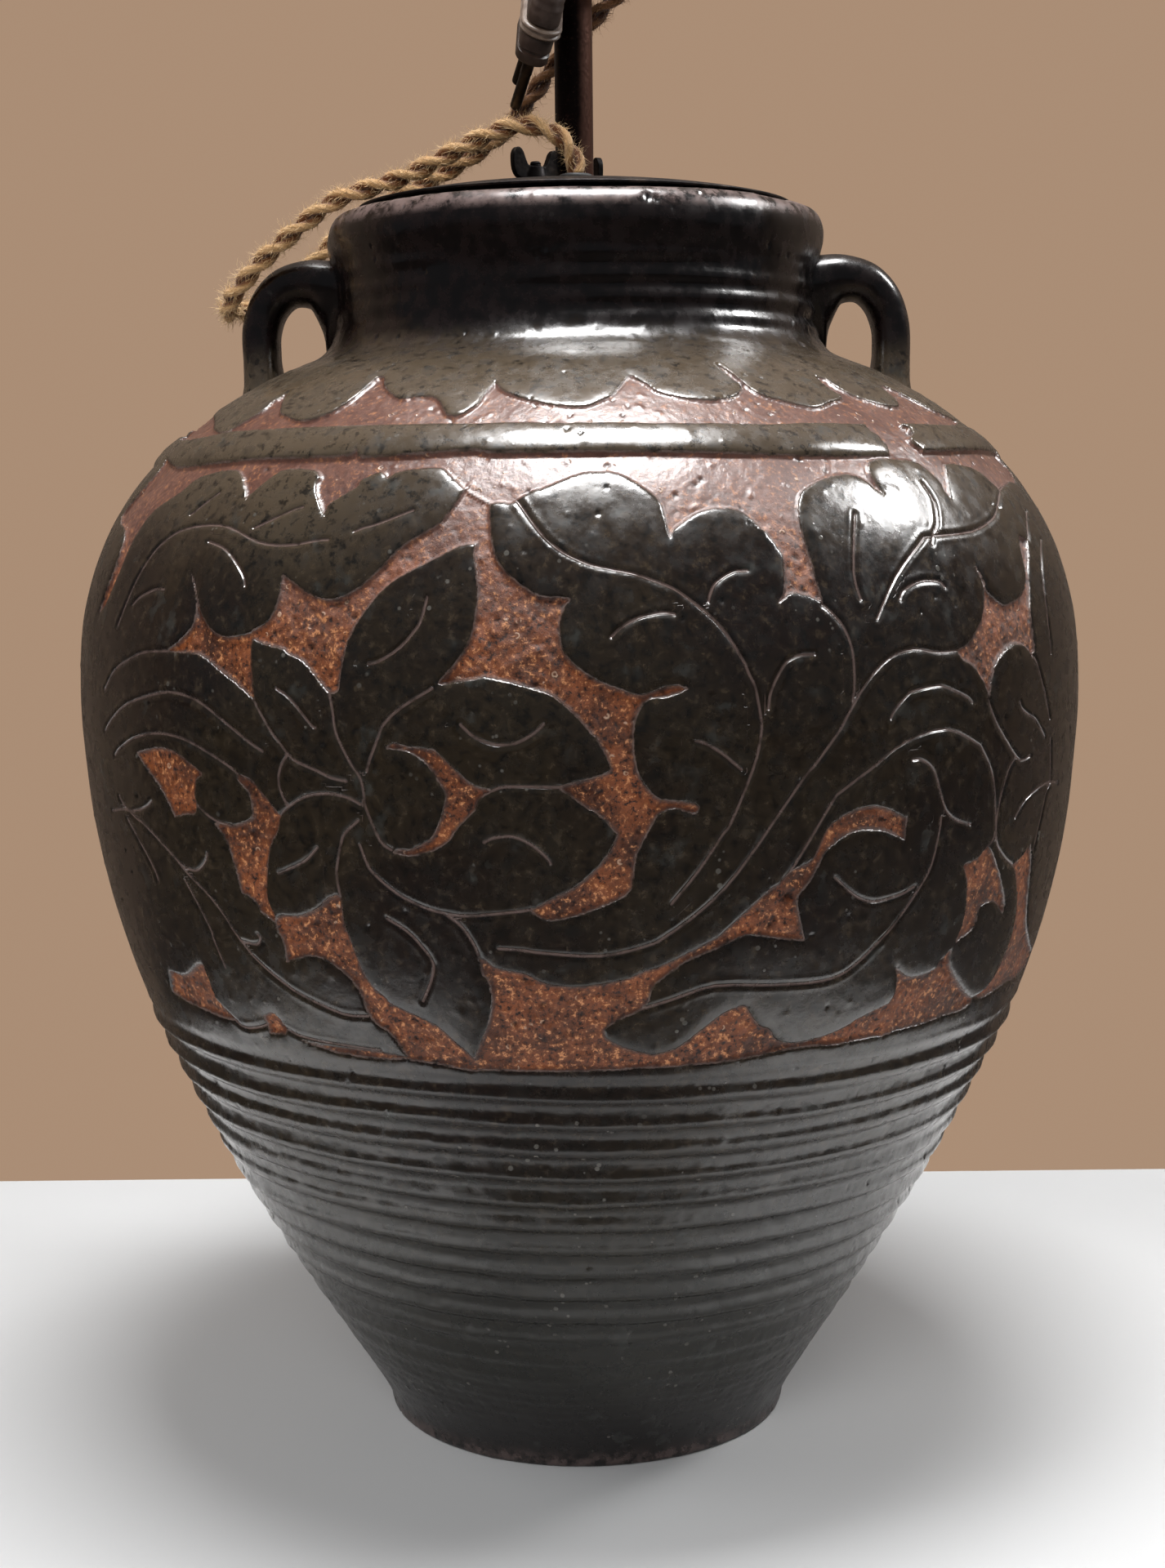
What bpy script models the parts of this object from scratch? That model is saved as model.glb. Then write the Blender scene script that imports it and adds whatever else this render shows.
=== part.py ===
"""Two-handled stoneware jar, fitted out as a lamp base.

The jar and its two strap handles stand on the ground plane. A domed cap closes the mouth. A long
pipe carries the stem on the cap, and a flat bar under the shoulder is drawn up by two studs and
wing nuts, which clamps the cap onto the rim. The flex leaves the cap through a grommet.
"""

import math

import bmesh
import bpy
from mathutils import Matrix, Vector

MM = 0.001

# Jar
belly_radius = 172.0 * MM
neck_base_height = 371.5 * MM
neck_height = 48.5 * MM
neck_radius = 82.2 * MM
neck_flare = 3.4 * MM
lip_radius = 84.8 * MM
lip_height = 16.0 * MM
lip_round = 6.4 * MM
mouth_radius = 72.5 * MM
mouth_round = 2.2 * MM
wall = 8.5 * MM
base_thickness = 13.0 * MM
foot_ring_width = 13.0 * MM
foot_recess = 3.0 * MM
jar_steps = 44
weld = 0.02 * MM

# Radius as a share of the belly radius, height as a share of the neck's base
body_outline_shares = (
    (0.413, 0.000),
    (0.417, 0.011),
    (0.432, 0.027),
    (0.4677, 0.0565),
    (0.544, 0.113),
    (0.6296, 0.180),
    (0.7268, 0.261),
    (0.8107, 0.339),
    (0.887, 0.417),
    (0.9423, 0.498),
    (0.9785, 0.576),
    (0.9971, 0.657),
    (1.0, 0.705),
    (0.9936, 0.754),
    (0.9755, 0.791),
    (0.947, 0.829),
    (0.9103, 0.861),
    (0.8596, 0.894),
    (0.7909, 0.926),
    (0.7222, 0.950),
    (0.6552, 0.969),
    (0.5999, 0.9825),
    (0.5475, 0.992),
    (0.5096, 1.000),
)

# Throwing ridges round the lower body
ridge_count = 14
ridge_pitch = 8.6 * MM
ridge_depth = 1.7 * MM
ridge_start = 28.0 * MM

# Raised line round the shoulder
ring_below_neck = 35.5 * MM
ring_width = 9.6 * MM
ring_rise = 1.3 * MM
ring_slope = 1.0 * MM

# Handles
handle_reach = 115.0 * MM
handle_below_rim = 15.0 * MM
handle_height = 53.0 * MM
handle_root = 74.0 * MM
handle_thickness = 12.6 * MM
handle_width = 22.0 * MM
handle_sections = 15

# Share of the way from root to outer leg, share of the height from foot to top, thickness share
handle_route_shares = (
    (0.00, 0.810, 1.32),
    (0.28, 0.845, 1.30),
    (0.52, 0.860, 1.26),
    (0.74, 0.825, 1.16),
    (0.90, 0.715, 1.06),
    (0.99, 0.560, 1.00),
    (1.00, 0.390, 0.98),
    (0.99, 0.210, 1.04),
    (1.00, 0.000, 1.22),
)

# General clearances
gap = 0.3 * MM
overrun = 2.0 * MM
round_steps = 24
cap_steps = 40

# Mouth cap
cap_radius = 74.6 * MM
cap_sheet = 1.2 * MM
cap_rise = 5.9 * MM
cap_flat_radius = 23.0 * MM
cap_dome_points = 6

# Pipe and stem
pipe_radius = 5.0 * MM
pipe_bore = 4.0 * MM
pipe_below_cap = 19.0 * MM
pipe_above_stem = 13.0 * MM
stem_radius = 6.5 * MM
stem_length = 204.0 * MM
stem_seat_radius = 6.9 * MM
stem_seat_thickness = 1.0 * MM
lower_washer_radius = 9.0 * MM
lower_washer_thickness = 1.2 * MM
lower_nut_flats = 14.0 * MM
lower_nut_height = 4.0 * MM
top_ring_radius = 8.0 * MM
top_ring_height = 6.0 * MM
top_ring_chamfer = 0.8 * MM

# Clamp under the shoulder
stud_radius = 2.0 * MM
stud_circle = 17.2 * MM
stud_above_cap = 8.6 * MM
stud_left_angle = math.radians(-140.0)
stud_right_angle = math.radians(75.0)
clamp_reach = 86.0 * MM
clamp_width = 22.0 * MM
clamp_thickness = 4.0 * MM
clamp_nut_flats = 7.0 * MM
clamp_nut_height = 3.2 * MM
stud_below_nut = 3.0 * MM

# Wing nuts
wing_washer_radius = 4.5 * MM
wing_washer_thickness = 1.0 * MM
wing_hub_radius = 4.0 * MM
wing_hub_top_radius = 3.1 * MM
wing_hub_height = 5.2 * MM
wing_span = 20.0 * MM
wing_height = 11.3 * MM
wing_ear_thickness = 2.4 * MM
wing_left_turn = math.radians(38.0)
wing_right_turn = math.radians(-62.0)

# Outline of one ear: share of half the span, share of the nut's height
wing_ear_shares = (
    (0.18, 0.08),
    (0.52, 0.08),
    (0.80, 0.16),
    (0.95, 0.36),
    (1.00, 0.62),
    (0.98, 0.84),
    (0.86, 0.98),
    (0.70, 1.00),
    (0.56, 0.88),
    (0.46, 0.66),
    (0.36, 0.50),
    (0.18, 0.42),
)

# Flex and its grommet
flex_diameter = 6.4 * MM
flex_length = 1800.0 * MM
grommet_place = Vector((0.4 * MM, -28.0 * MM, 0.0))
grommet_bore = 3.5 * MM
grommet_shank_radius = 4.5 * MM
grommet_flange_radius = 5.8 * MM
grommet_flange_height = 1.5 * MM
inner_bend_drop = 20.0 * MM
flex_sides_resolution = 2
flex_point_spacing = 10.0 * MM
tail_point_spacing = 8.0 * MM

# Winding of the spare flex round the stem
winding_radius = 13.4 * MM
winding_pitch = 7.0 * MM
winding_start_angle = math.radians(-110.0)
winding_start_height = 506.6 * MM
winding_end_angle = math.radians(0.0)
winding_loop_points = 20

# Plug
plug_place = Vector((-10.3 * MM, -24.0 * MM, 481.7 * MM))
plug_up = Vector((0.309, -0.551, 0.775))
plug_across = Vector((-0.018, -0.818, -0.574))
plug_width = 33.4 * MM
plug_thickness = 11.0 * MM
plug_base_height = 9.6 * MM
plug_collar_width = 35.8 * MM
plug_collar_thickness = 14.0 * MM
plug_collar_height = 3.4 * MM
plug_shell_height = 20.0 * MM
plug_shell_waist_share = 0.52
plug_sleeve_radius = 4.8 * MM
plug_sleeve_height = 6.0 * MM
plug_pin_spacing = 19.0 * MM
plug_pin_radius = 2.0 * MM
plug_pin_length = 19.0 * MM
plug_pin_hold = 6.0 * MM
plug_pin_tip = 1.2 * MM
outline_steps = 8

# Route of the flex from the grommet to the winding, chosen point by point
flex_route = (
    (-1.0 * MM, -28.0 * MM, 437.0 * MM),
    (-5.2 * MM, -27.8 * MM, 441.8 * MM),
    (-12.0 * MM, -27.0 * MM, 444.9 * MM),
    (-19.0 * MM, -25.5 * MM, 445.4 * MM),
    (-28.5 * MM, -23.5 * MM, 443.1 * MM),
    (-41.5 * MM, -21.0 * MM, 437.4 * MM),
    (-55.5 * MM, -19.0 * MM, 431.0 * MM),
    (-68.0 * MM, -17.5 * MM, 427.2 * MM),
    (-79.0 * MM, -17.0 * MM, 423.8 * MM),
    (-88.6 * MM, -15.8 * MM, 418.0 * MM),
    (-98.4 * MM, -13.8 * MM, 410.6 * MM),
    (-107.4 * MM, -10.8 * MM, 403.4 * MM),
    (-115.0 * MM, -6.4 * MM, 396.0 * MM),
    (-119.8 * MM, 0.4 * MM, 391.0 * MM),
    (-121.0 * MM, 9.0 * MM, 388.6 * MM),
    (-117.6 * MM, 17.0 * MM, 389.6 * MM),
    (-110.5 * MM, 22.2 * MM, 393.6 * MM),
    (-101.0 * MM, 25.6 * MM, 400.0 * MM),
    (-91.0 * MM, 28.0 * MM, 409.6 * MM),
    (-79.6 * MM, 30.0 * MM, 421.2 * MM),
    (-66.0 * MM, 30.4 * MM, 428.8 * MM),
    (-53.0 * MM, 28.6 * MM, 434.8 * MM),
    (-41.0 * MM, 26.0 * MM, 440.8 * MM),
    (-30.0 * MM, 23.2 * MM, 447.4 * MM),
    (-21.5 * MM, 20.4 * MM, 454.6 * MM),
    (-14.6 * MM, 17.8 * MM, 462.6 * MM),
    (-7.6 * MM, 16.0 * MM, 471.4 * MM),
    (0.0 * MM, 15.2 * MM, 480.0 * MM),
    (6.8 * MM, 14.6 * MM, 487.4 * MM),
    (13.2 * MM, 12.6 * MM, 493.6 * MM),
    (19.4 * MM, 8.8 * MM, 498.2 * MM),
    (23.6 * MM, 3.0 * MM, 501.4 * MM),
    (24.8 * MM, -4.0 * MM, 503.4 * MM),
    (22.6 * MM, -10.6 * MM, 504.6 * MM),
    (17.8 * MM, -15.4 * MM, 505.3 * MM),
    (12.6 * MM, -17.8 * MM, 505.7 * MM),
)

# Route from the winding's top end down to the plug
tail_route = (
    (12.0 * MM, -21.6 * MM, -0.4 * MM),
    (9.4 * MM, -30.6 * MM, -4.4 * MM),
    (6.6 * MM, -37.6 * MM, -13.0 * MM),
    (4.4 * MM, -41.8 * MM, -25.6 * MM),
    (2.8 * MM, -44.6 * MM, -41.0 * MM),
)
tail_foot = (
    (1.0 * MM, -46.2 * MM, 19.0 * MM),
    (0.0 * MM, -44.4 * MM, 9.0 * MM),
)

# Heights and places worked out from the sizes above
jar_height = neck_base_height + neck_height
ring_low = neck_base_height - ring_below_neck
handle_top = jar_height - handle_below_rim
handle_foot = handle_top - handle_height
cap_seat_height = jar_height + gap
cap_edge_top = cap_seat_height + cap_sheet
cap_top = cap_edge_top + cap_rise
cap_under = cap_top - cap_sheet
stem_bottom = cap_top + gap + stem_seat_thickness + gap
stem_top = stem_bottom + stem_length
pipe_bottom = cap_under - pipe_below_cap
pipe_top = stem_top + pipe_above_stem
flex_radius = flex_diameter / 2.0
close_bore = pipe_radius + gap
stud_bore = stud_radius + gap
grommet_top = cap_top + gap + grommet_flange_height
wing_bottom = cap_top + gap + wing_washer_thickness + gap


def clear_scene():
    for item in list(bpy.data.objects):
        bpy.data.objects.remove(item, do_unlink=True)


def make_collection(name):
    collection = bpy.data.collections.new(name)
    bpy.context.scene.collection.children.link(collection)
    return collection


def make_material(name, colour, roughness, metallic=0.0):
    material = bpy.data.materials.new(name)
    material.use_nodes = True
    shader = material.node_tree.nodes["Principled BSDF"]
    shader.inputs["Base Color"].default_value = (*colour, 1.0)
    shader.inputs["Roughness"].default_value = roughness
    shader.inputs["Metallic"].default_value = metallic
    return material


def add_object(name, data, collection, material=None):
    item = bpy.data.objects.new(name, data)
    collection.objects.link(item)
    if material:
        data.materials.append(material)
    return item


def make_cutter(item):
    item.hide_render = True
    item.display_type = "WIRE"
    return item


def smooth_shade(item, angle=math.radians(35.0)):
    item.data.shade_smooth()
    item.data.set_sharp_from_angle(angle=angle)


def turned(name, profile, collection, material=None, closed=False, steps=round_steps):
    """A profile of (radius, height) points turned round Z. It runs down its outer side."""
    mesh = bpy.data.meshes.new(name)
    count = len(profile)
    edges = [(i, i + 1) for i in range(count - 1)]
    if closed:
        edges.append((count - 1, 0))
    mesh.from_pydata([(radius, 0.0, height) for radius, height in profile], edges, [])
    item = add_object(name, mesh, collection, material)
    screw = item.modifiers.new("turn", "SCREW")
    screw.axis = "Z"
    screw.angle = 2.0 * math.pi
    screw.steps = steps
    screw.render_steps = steps
    screw.use_merge_vertices = True
    screw.merge_threshold = weld
    screw.use_smooth_shade = True
    return item


def ring_profile(inner, outer, low, high):
    return [(inner, high), (outer, high), (outer, low), (inner, low)]


def cylinder(name, radius, low, high, collection, material=None, sides=round_steps, place=(0.0, 0.0)):
    mesh = bpy.data.meshes.new(name)
    bm = bmesh.new()
    bmesh.ops.create_cone(
        bm, cap_ends=True, segments=sides, radius1=radius, radius2=radius, depth=high - low
    )
    bm.to_mesh(mesh)
    bm.free()
    item = add_object(name, mesh, collection, material)
    item.location = (place[0], place[1], (low + high) / 2.0)
    return item


def cut(item, cutter):
    change = item.modifiers.new("cut " + cutter.name, "BOOLEAN")
    change.operation = "DIFFERENCE"
    change.solver = "EXACT"
    change.object = cutter


def join(item, other):
    change = item.modifiers.new("join " + other.name, "BOOLEAN")
    change.operation = "UNION"
    change.solver = "EXACT"
    change.object = other


def curve_mesh(item, name, collection, material=None):
    """A curve's evaluated shape as a welded mesh in the curve's place."""
    bpy.context.view_layer.update()
    graph = bpy.context.evaluated_depsgraph_get()
    mesh = bpy.data.meshes.new_from_object(item.evaluated_get(graph))
    bm = bmesh.new()
    bm.from_mesh(mesh)
    bmesh.ops.remove_doubles(bm, verts=bm.verts, dist=weld)
    bmesh.ops.recalc_face_normals(bm, faces=bm.faces)
    bm.to_mesh(mesh)
    bm.free()
    mesh.materials.clear()
    place = item.matrix_world.copy()
    bpy.data.objects.remove(item, do_unlink=True)
    made = add_object(name, mesh, collection, material)
    made.matrix_world = place
    return made


def tube(name, points, radius, collection, material=None, resolution=2, scales=None):
    curve = bpy.data.curves.new(name, "CURVE")
    curve.dimensions = "3D"
    curve.bevel_depth = radius
    curve.bevel_resolution = resolution
    curve.use_fill_caps = True
    spline = curve.splines.new("POLY")
    spline.points.add(len(points) - 1)
    for index, point in enumerate(points):
        spline.points[index].co = (*point, 1.0)
        if scales:
            spline.points[index].radius = scales[index]
    return add_object(name, curve, collection, material)


def flat_outline(name, outline, thickness, collection, material=None):
    """A closed flat outline in X and Y with a thickness along Z, centred on its own origin."""
    curve = bpy.data.curves.new(name, "CURVE")
    curve.dimensions = "2D"
    curve.fill_mode = "BOTH"
    curve.extrude = thickness / 2.0
    spline = curve.splines.new("POLY")
    spline.points.add(len(outline) - 1)
    for index, (x, y) in enumerate(outline):
        spline.points[index].co = (x, y, 0.0, 1.0)
    spline.use_cyclic_u = True
    return add_object(name, curve, collection, material)


def smooth_curve(points, spacing):
    """Points at an even spacing along a smooth curve through the given points."""
    route = [Vector(point) for point in points]
    ends = [2.0 * route[0] - route[1]] + route + [2.0 * route[-1] - route[-2]]
    fine = []
    slices = 16
    for i in range(1, len(ends) - 2):
        before, start, end, after = ends[i - 1], ends[i], ends[i + 1], ends[i + 2]
        for k in range(slices):
            t = k / slices
            slope_in = (end - before) / 2.0
            slope_out = (after - start) / 2.0
            fine.append(
                start * (2 * t**3 - 3 * t**2 + 1)
                + slope_in * (t**3 - 2 * t**2 + t)
                + end * (-2 * t**3 + 3 * t**2)
                + slope_out * (t**3 - t**2)
            )
    fine.append(route[-1])
    lengths = [0.0]
    for here, there in zip(fine, fine[1:]):
        lengths.append(lengths[-1] + (there - here).length)
    count = max(2, round(lengths[-1] / spacing))
    even = []
    k = 0
    for i in range(count + 1):
        target = lengths[-1] * i / count
        while k < len(fine) - 2 and lengths[k + 1] < target:
            k += 1
        share = (target - lengths[k]) / max(lengths[k + 1] - lengths[k], 1e-12)
        even.append(fine[k].lerp(fine[k + 1], share))
    return even


def path_length(points):
    return sum((there - here).length for here, there in zip(points, points[1:]))


def outline_radius(height):
    """The body's plain outer radius at a height, from foot to neck base."""
    low = body_outline_shares[0]
    for high in body_outline_shares[1:]:
        if height <= high[1] * neck_base_height:
            share = (height / neck_base_height - low[1]) / (high[1] - low[1])
            return (low[0] + (high[0] - low[0]) * share) * belly_radius
        low = high
    return low[0] * belly_radius


def ridged_body():
    """The lower body from the foot to the top ridge: crests and troughs of the throwing ridges."""
    points = [
        (r * belly_radius, h * neck_base_height)
        for r, h in body_outline_shares
        if h * neck_base_height < ridge_start - ridge_pitch / 2.0
    ]
    for i in range(2 * ridge_count):
        height = ridge_start + i * ridge_pitch / 2.0
        side = ridge_depth / 2.0 if i % 2 == 0 else -ridge_depth / 2.0
        points.append((outline_radius(height) + side, height))
    return points


def upper_body():
    """The body above the ridges, with the raised line round the shoulder."""
    last_ridge = ridge_start + (2 * ridge_count - 1) * ridge_pitch / 2.0
    ring_high = ring_low + ring_width
    points = []
    for r, h in body_outline_shares:
        height = h * neck_base_height
        near_ring = ring_low - 2.0 * ring_slope < height < ring_high + 2.0 * ring_slope
        if height > last_ridge + ridge_pitch / 2.0 and not near_ring:
            points.append((r * belly_radius, height))
    for height, rise in (
        (ring_low - ring_slope, 0.0),
        (ring_low, ring_rise),
        (ring_high, ring_rise),
        (ring_high + ring_slope, 0.0),
    ):
        points.append((outline_radius(height) + rise, height + rise / 2.0))
    return sorted(points, key=lambda point: point[1])


def neck_and_lip():
    """Neck and rolled lip, from the neck's base up to the rim's flat."""
    lip_low = jar_height - lip_height
    neck_span = lip_low - neck_base_height
    return [
        (neck_radius + neck_flare / 4.0, neck_base_height + neck_span * 0.14),
        (neck_radius, neck_base_height + neck_span * 0.36),
        (neck_radius, neck_base_height + neck_span * 0.70),
        ((neck_radius + lip_radius) / 2.0, lip_low + lip_height * 0.10),
        (lip_radius, lip_low + lip_height * 0.34),
        (lip_radius, jar_height - lip_round),
        (lip_radius - lip_round * 0.20, jar_height - lip_round * 0.42),
        (lip_radius - lip_round * 0.55, jar_height - lip_round * 0.12),
        (lip_radius - lip_round, jar_height),
    ]


def outer_outline():
    return ridged_body() + upper_body() + neck_and_lip()


def inner_outline():
    """The inside from the floor's edge up to the mouth, a wall's thickness in from the outline."""
    floor = foot_recess + base_thickness
    plain = [(r * belly_radius, h * neck_base_height) for r, h in body_outline_shares]
    points = []
    for before, here, after in zip(plain, plain[1:], plain[2:]):
        run = Vector((after[0] - before[0], after[1] - before[1])).normalized()
        points.append((here[0] - run.y * wall, here[1] + run.x * wall))
    points = [point for point in points if point[1] > floor + wall]
    first = points[0]
    return (
        [(first[0] * 0.80, floor), (first[0] * 0.95, floor + wall * 0.25)]
        + points
        + [
            (neck_radius - wall, neck_base_height + wall * 0.4),
            (mouth_radius, jar_height - lip_height),
            (mouth_radius, jar_height - mouth_round),
            (mouth_radius + mouth_round * 0.3, jar_height - mouth_round * 0.3),
            (mouth_radius + mouth_round, jar_height),
        ]
    )


def inner_height(radius):
    """The height of the wall's inside over the clamp, at a radius between neck and belly."""
    inside = inner_outline()
    widest = max(range(len(inside)), key=lambda i: inside[i][0])
    upper = inside[widest:]
    for here, there in zip(upper, upper[1:]):
        if there[0] <= radius <= here[0]:
            share = (here[0] - radius) / (here[0] - there[0])
            return here[1] + (there[1] - here[1]) * share
    return upper[-1][1]


def build_jar(parts, glaze):
    foot_radius = body_outline_shares[0][0] * belly_radius
    ring_inner = foot_radius - foot_ring_width
    floor = foot_recess + base_thickness
    profile = [(0.0, floor)]
    profile += inner_outline()
    profile += reversed(outer_outline())
    profile += [
        (ring_inner, 0.0),
        (ring_inner - foot_recess, foot_recess),
        (0.0, foot_recess),
    ]
    return turned("jar_body", profile, parts, glaze, steps=jar_steps)


def make_jar_cutter(cutters):
    """The jar's filled outer shape, a gap larger all round."""
    outline = [(radius + gap, height) for radius, height in outer_outline()]
    profile = [(0.0, jar_height + gap)] + list(reversed(outline)) + [(0.0, 0.0)]
    return make_cutter(turned("jar_outer_cutter", profile, cutters, steps=jar_steps))


def build_handle(name, side, parts, glaze, jar_cutter):
    leg = handle_reach - handle_thickness / 2.0
    crown = handle_top - handle_foot
    route = []
    for along, up, _ in handle_route_shares:
        route.append((side * (handle_root + (leg - handle_root) * along), 0.0, handle_foot + crown * up))
    length = path_length([Vector(point) for point in route])
    points = smooth_curve(route, length / handle_sections)
    scales = []
    for i in range(len(points)):
        place = i / (len(points) - 1) * (len(handle_route_shares) - 1)
        low = min(int(place), len(handle_route_shares) - 2)
        share = place - low
        thin, thick = handle_route_shares[low][2], handle_route_shares[low + 1][2]
        scales.append(thin + (thick - thin) * share)
    strap = tube(name + "_curve", points, handle_thickness / 2.0, parts, resolution=4, scales=scales)
    handle = curve_mesh(strap, name, parts, glaze)
    handle.data.transform(Matrix.Diagonal((1.0, handle_width / handle_thickness, 1.0, 1.0)))
    smooth_shade(handle)
    cut(handle, jar_cutter)
    return handle


def polar(radius, angle):
    return (radius * math.cos(angle), radius * math.sin(angle))


def build_cap(parts, cutters, metal):
    dome = []
    for i in range(cap_dome_points + 1):
        share = i / cap_dome_points
        radius = cap_flat_radius + (cap_radius - cap_flat_radius) * share
        dome.append((radius, cap_top - cap_rise * share**2))
    under = [(radius, height - cap_sheet) for radius, height in reversed(dome)]
    profile = [(close_bore, cap_top)] + dome + under + [(close_bore, cap_under)]
    cap = turned("mouth_cap", profile, parts, metal, closed=True, steps=cap_steps)
    low, high = cap_under - overrun, cap_top + overrun
    for name, angle in (("left", stud_left_angle), ("right", stud_right_angle)):
        place = polar(stud_circle, angle)
        hole = cylinder("cap_stud_hole_" + name, stud_bore, low, high, cutters, place=place, sides=16)
        cut(cap, make_cutter(hole))
    hole_radius = grommet_shank_radius + gap
    hole = cylinder("cap_cord_hole", hole_radius, low, high, cutters, place=grommet_place, sides=16)
    cut(cap, make_cutter(hole))
    return cap


def build_grommet(parts, rubber):
    top = cap_top + gap
    bottom = cap_under - 2.0 * gap
    profile = [
        (grommet_bore, top + grommet_flange_height),
        (grommet_flange_radius - grommet_flange_height / 3.0, top + grommet_flange_height),
        (grommet_flange_radius, top + grommet_flange_height / 2.0),
        (grommet_flange_radius, top),
        (grommet_shank_radius, top),
        (grommet_shank_radius, bottom),
        (grommet_flange_radius, bottom),
        (grommet_flange_radius, bottom - grommet_flange_height),
        (grommet_bore, bottom - grommet_flange_height),
    ]
    grommet = turned("cord_grommet", profile, parts, rubber, closed=True, steps=16)
    grommet.location = grommet_place
    return grommet


def hex_nut(name, flats, low, high, bore, parts, cutters, metal, place=(0.0, 0.0)):
    corner_radius = flats / 2.0 / math.cos(math.radians(30.0))
    nut = cylinder(name, corner_radius, low, high, parts, metal, sides=6, place=place)
    hole = cylinder(
        name + "_bore", bore, low - overrun, high + overrun, cutters, sides=16, place=place
    )
    cut(nut, make_cutter(hole))
    return nut


def build_stem(parts, cutters, bronze, steel):
    """The pipe that runs through the cap, the stem sleeve over it, and what clamps them."""
    pieces = []
    pieces.append(
        turned("threaded_pipe", ring_profile(pipe_bore, pipe_radius, pipe_bottom, pipe_top),
               parts, steel, closed=True)
    )
    seat_low = cap_top + gap
    seat = ring_profile(close_bore, stem_seat_radius, seat_low, seat_low + stem_seat_thickness)
    pieces.append(turned("stem_seat_washer", seat, parts, bronze, closed=True))
    sleeve = ring_profile(close_bore, stem_radius, stem_bottom, stem_top)
    pieces.append(turned("stem_tube", sleeve, parts, bronze, closed=True))
    washer_high = cap_under - gap
    washer_low = washer_high - lower_washer_thickness
    washer = ring_profile(close_bore, lower_washer_radius, washer_low, washer_high)
    pieces.append(turned("lower_washer", washer, parts, steel, closed=True))
    nut_high = washer_low - gap
    pieces.append(
        hex_nut("lower_locknut", lower_nut_flats, nut_high - lower_nut_height, nut_high,
                close_bore, parts, cutters, steel)
    )
    ring_low_edge = stem_top + gap
    ring_high_edge = ring_low_edge + top_ring_height
    ring = [
        (close_bore, ring_high_edge),
        (top_ring_radius - top_ring_chamfer, ring_high_edge),
        (top_ring_radius, ring_high_edge - top_ring_chamfer),
        (top_ring_radius, ring_low_edge + top_ring_chamfer),
        (top_ring_radius - top_ring_chamfer, ring_low_edge),
        (close_bore, ring_low_edge),
    ]
    pieces.append(turned("stem_top_ring", ring, parts, bronze, closed=True))
    return pieces


def clamp_line():
    """The bar's middle and direction, from one stud to the other."""
    left = Vector((*polar(stud_circle, stud_left_angle), 0.0))
    right = Vector((*polar(stud_circle, stud_right_angle), 0.0))
    along = (right - left).normalized()
    middle = along * -along.dot((left + right) / 2.0) + (left + right) / 2.0
    return left, right, along, middle


def clamp_top():
    """The bar's top, just under the wall where the bar's farthest corner lies."""
    left, right, along, middle = clamp_line()
    corner = math.hypot(clamp_reach, clamp_width / 2.0 + middle.length)
    return inner_height(corner) - 2.0 * gap


def build_clamp(parts, cutters, steel):
    """The bar under the shoulder, its studs, and the nuts that hold them in it."""
    left, right, along, middle = clamp_line()
    top = clamp_top()
    bottom = top - clamp_thickness
    mesh = bpy.data.meshes.new("clamp_bar")
    bm = bmesh.new()
    bmesh.ops.create_cube(bm, size=1.0)
    bm.to_mesh(mesh)
    bm.free()
    mesh.transform(Matrix.Diagonal((2.0 * clamp_reach, clamp_width, clamp_thickness, 1.0)))
    bar = add_object("clamp_bar", mesh, parts, steel)
    bar.location = (middle.x, middle.y, (top + bottom) / 2.0)
    bar.rotation_euler = (0.0, 0.0, math.atan2(along.y, along.x))
    pieces = [bar]
    nut_high = bottom - gap
    nut_low = nut_high - clamp_nut_height
    stud_top = cap_top + stud_above_cap
    for name, place in (("left", left), ("right", right)):
        hole = cylinder("clamp_hole_" + name, stud_bore, bottom - overrun, top + overrun, cutters,
                        sides=16, place=place)
        cut(bar, make_cutter(hole))
        pieces.append(cylinder("clamp_stud_" + name, stud_radius, nut_low - stud_below_nut,
                               stud_top, parts, steel, sides=16, place=place))
        pieces.append(hex_nut("clamp_nut_" + name, clamp_nut_flats, nut_low, nut_high, stud_bore,
                              parts, cutters, steel, place=place))
    return pieces


def build_wing_nut(name, place, turn, parts, cutters, metal):
    """A hub with two upright ears. Its origin is on the stud's axis, at the nut's foot."""
    hub_profile = [
        (0.0, wing_hub_height),
        (wing_hub_top_radius, wing_hub_height),
        (wing_hub_radius, wing_hub_height / 3.0),
        (wing_hub_radius, 0.0),
        (0.0, 0.0),
    ]
    nut = turned(name, hub_profile, parts, metal, steps=16)
    for side in (1.0, -1.0):
        outline = [(side * x * wing_span / 2.0, y * wing_height) for x, y in wing_ear_shares]
        flat = flat_outline(name + "_ear_outline", outline, wing_ear_thickness, cutters)
        tag = "_ear_a" if side > 0 else "_ear_b"
        ear = curve_mesh(flat, name + tag, cutters)
        ear.rotation_euler = (math.radians(90.0), 0.0, turn)
        ear.location = (*place, wing_bottom)
        join(nut, make_cutter(ear))
    bore = cylinder(name + "_bore", stud_bore, wing_bottom - overrun, wing_bottom + wing_height,
                    cutters, sides=16, place=place)
    cut(nut, make_cutter(bore))
    nut.location = (*place, wing_bottom)
    nut.rotation_euler = (0.0, 0.0, turn)
    return nut


def build_wing_washer(name, place, parts, metal):
    low = cap_top + gap
    profile = ring_profile(stud_bore, wing_washer_radius, low, low + wing_washer_thickness)
    washer = turned(name, profile, parts, metal, closed=True, steps=16)
    washer.location = (*place, 0.0)
    return washer


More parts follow.
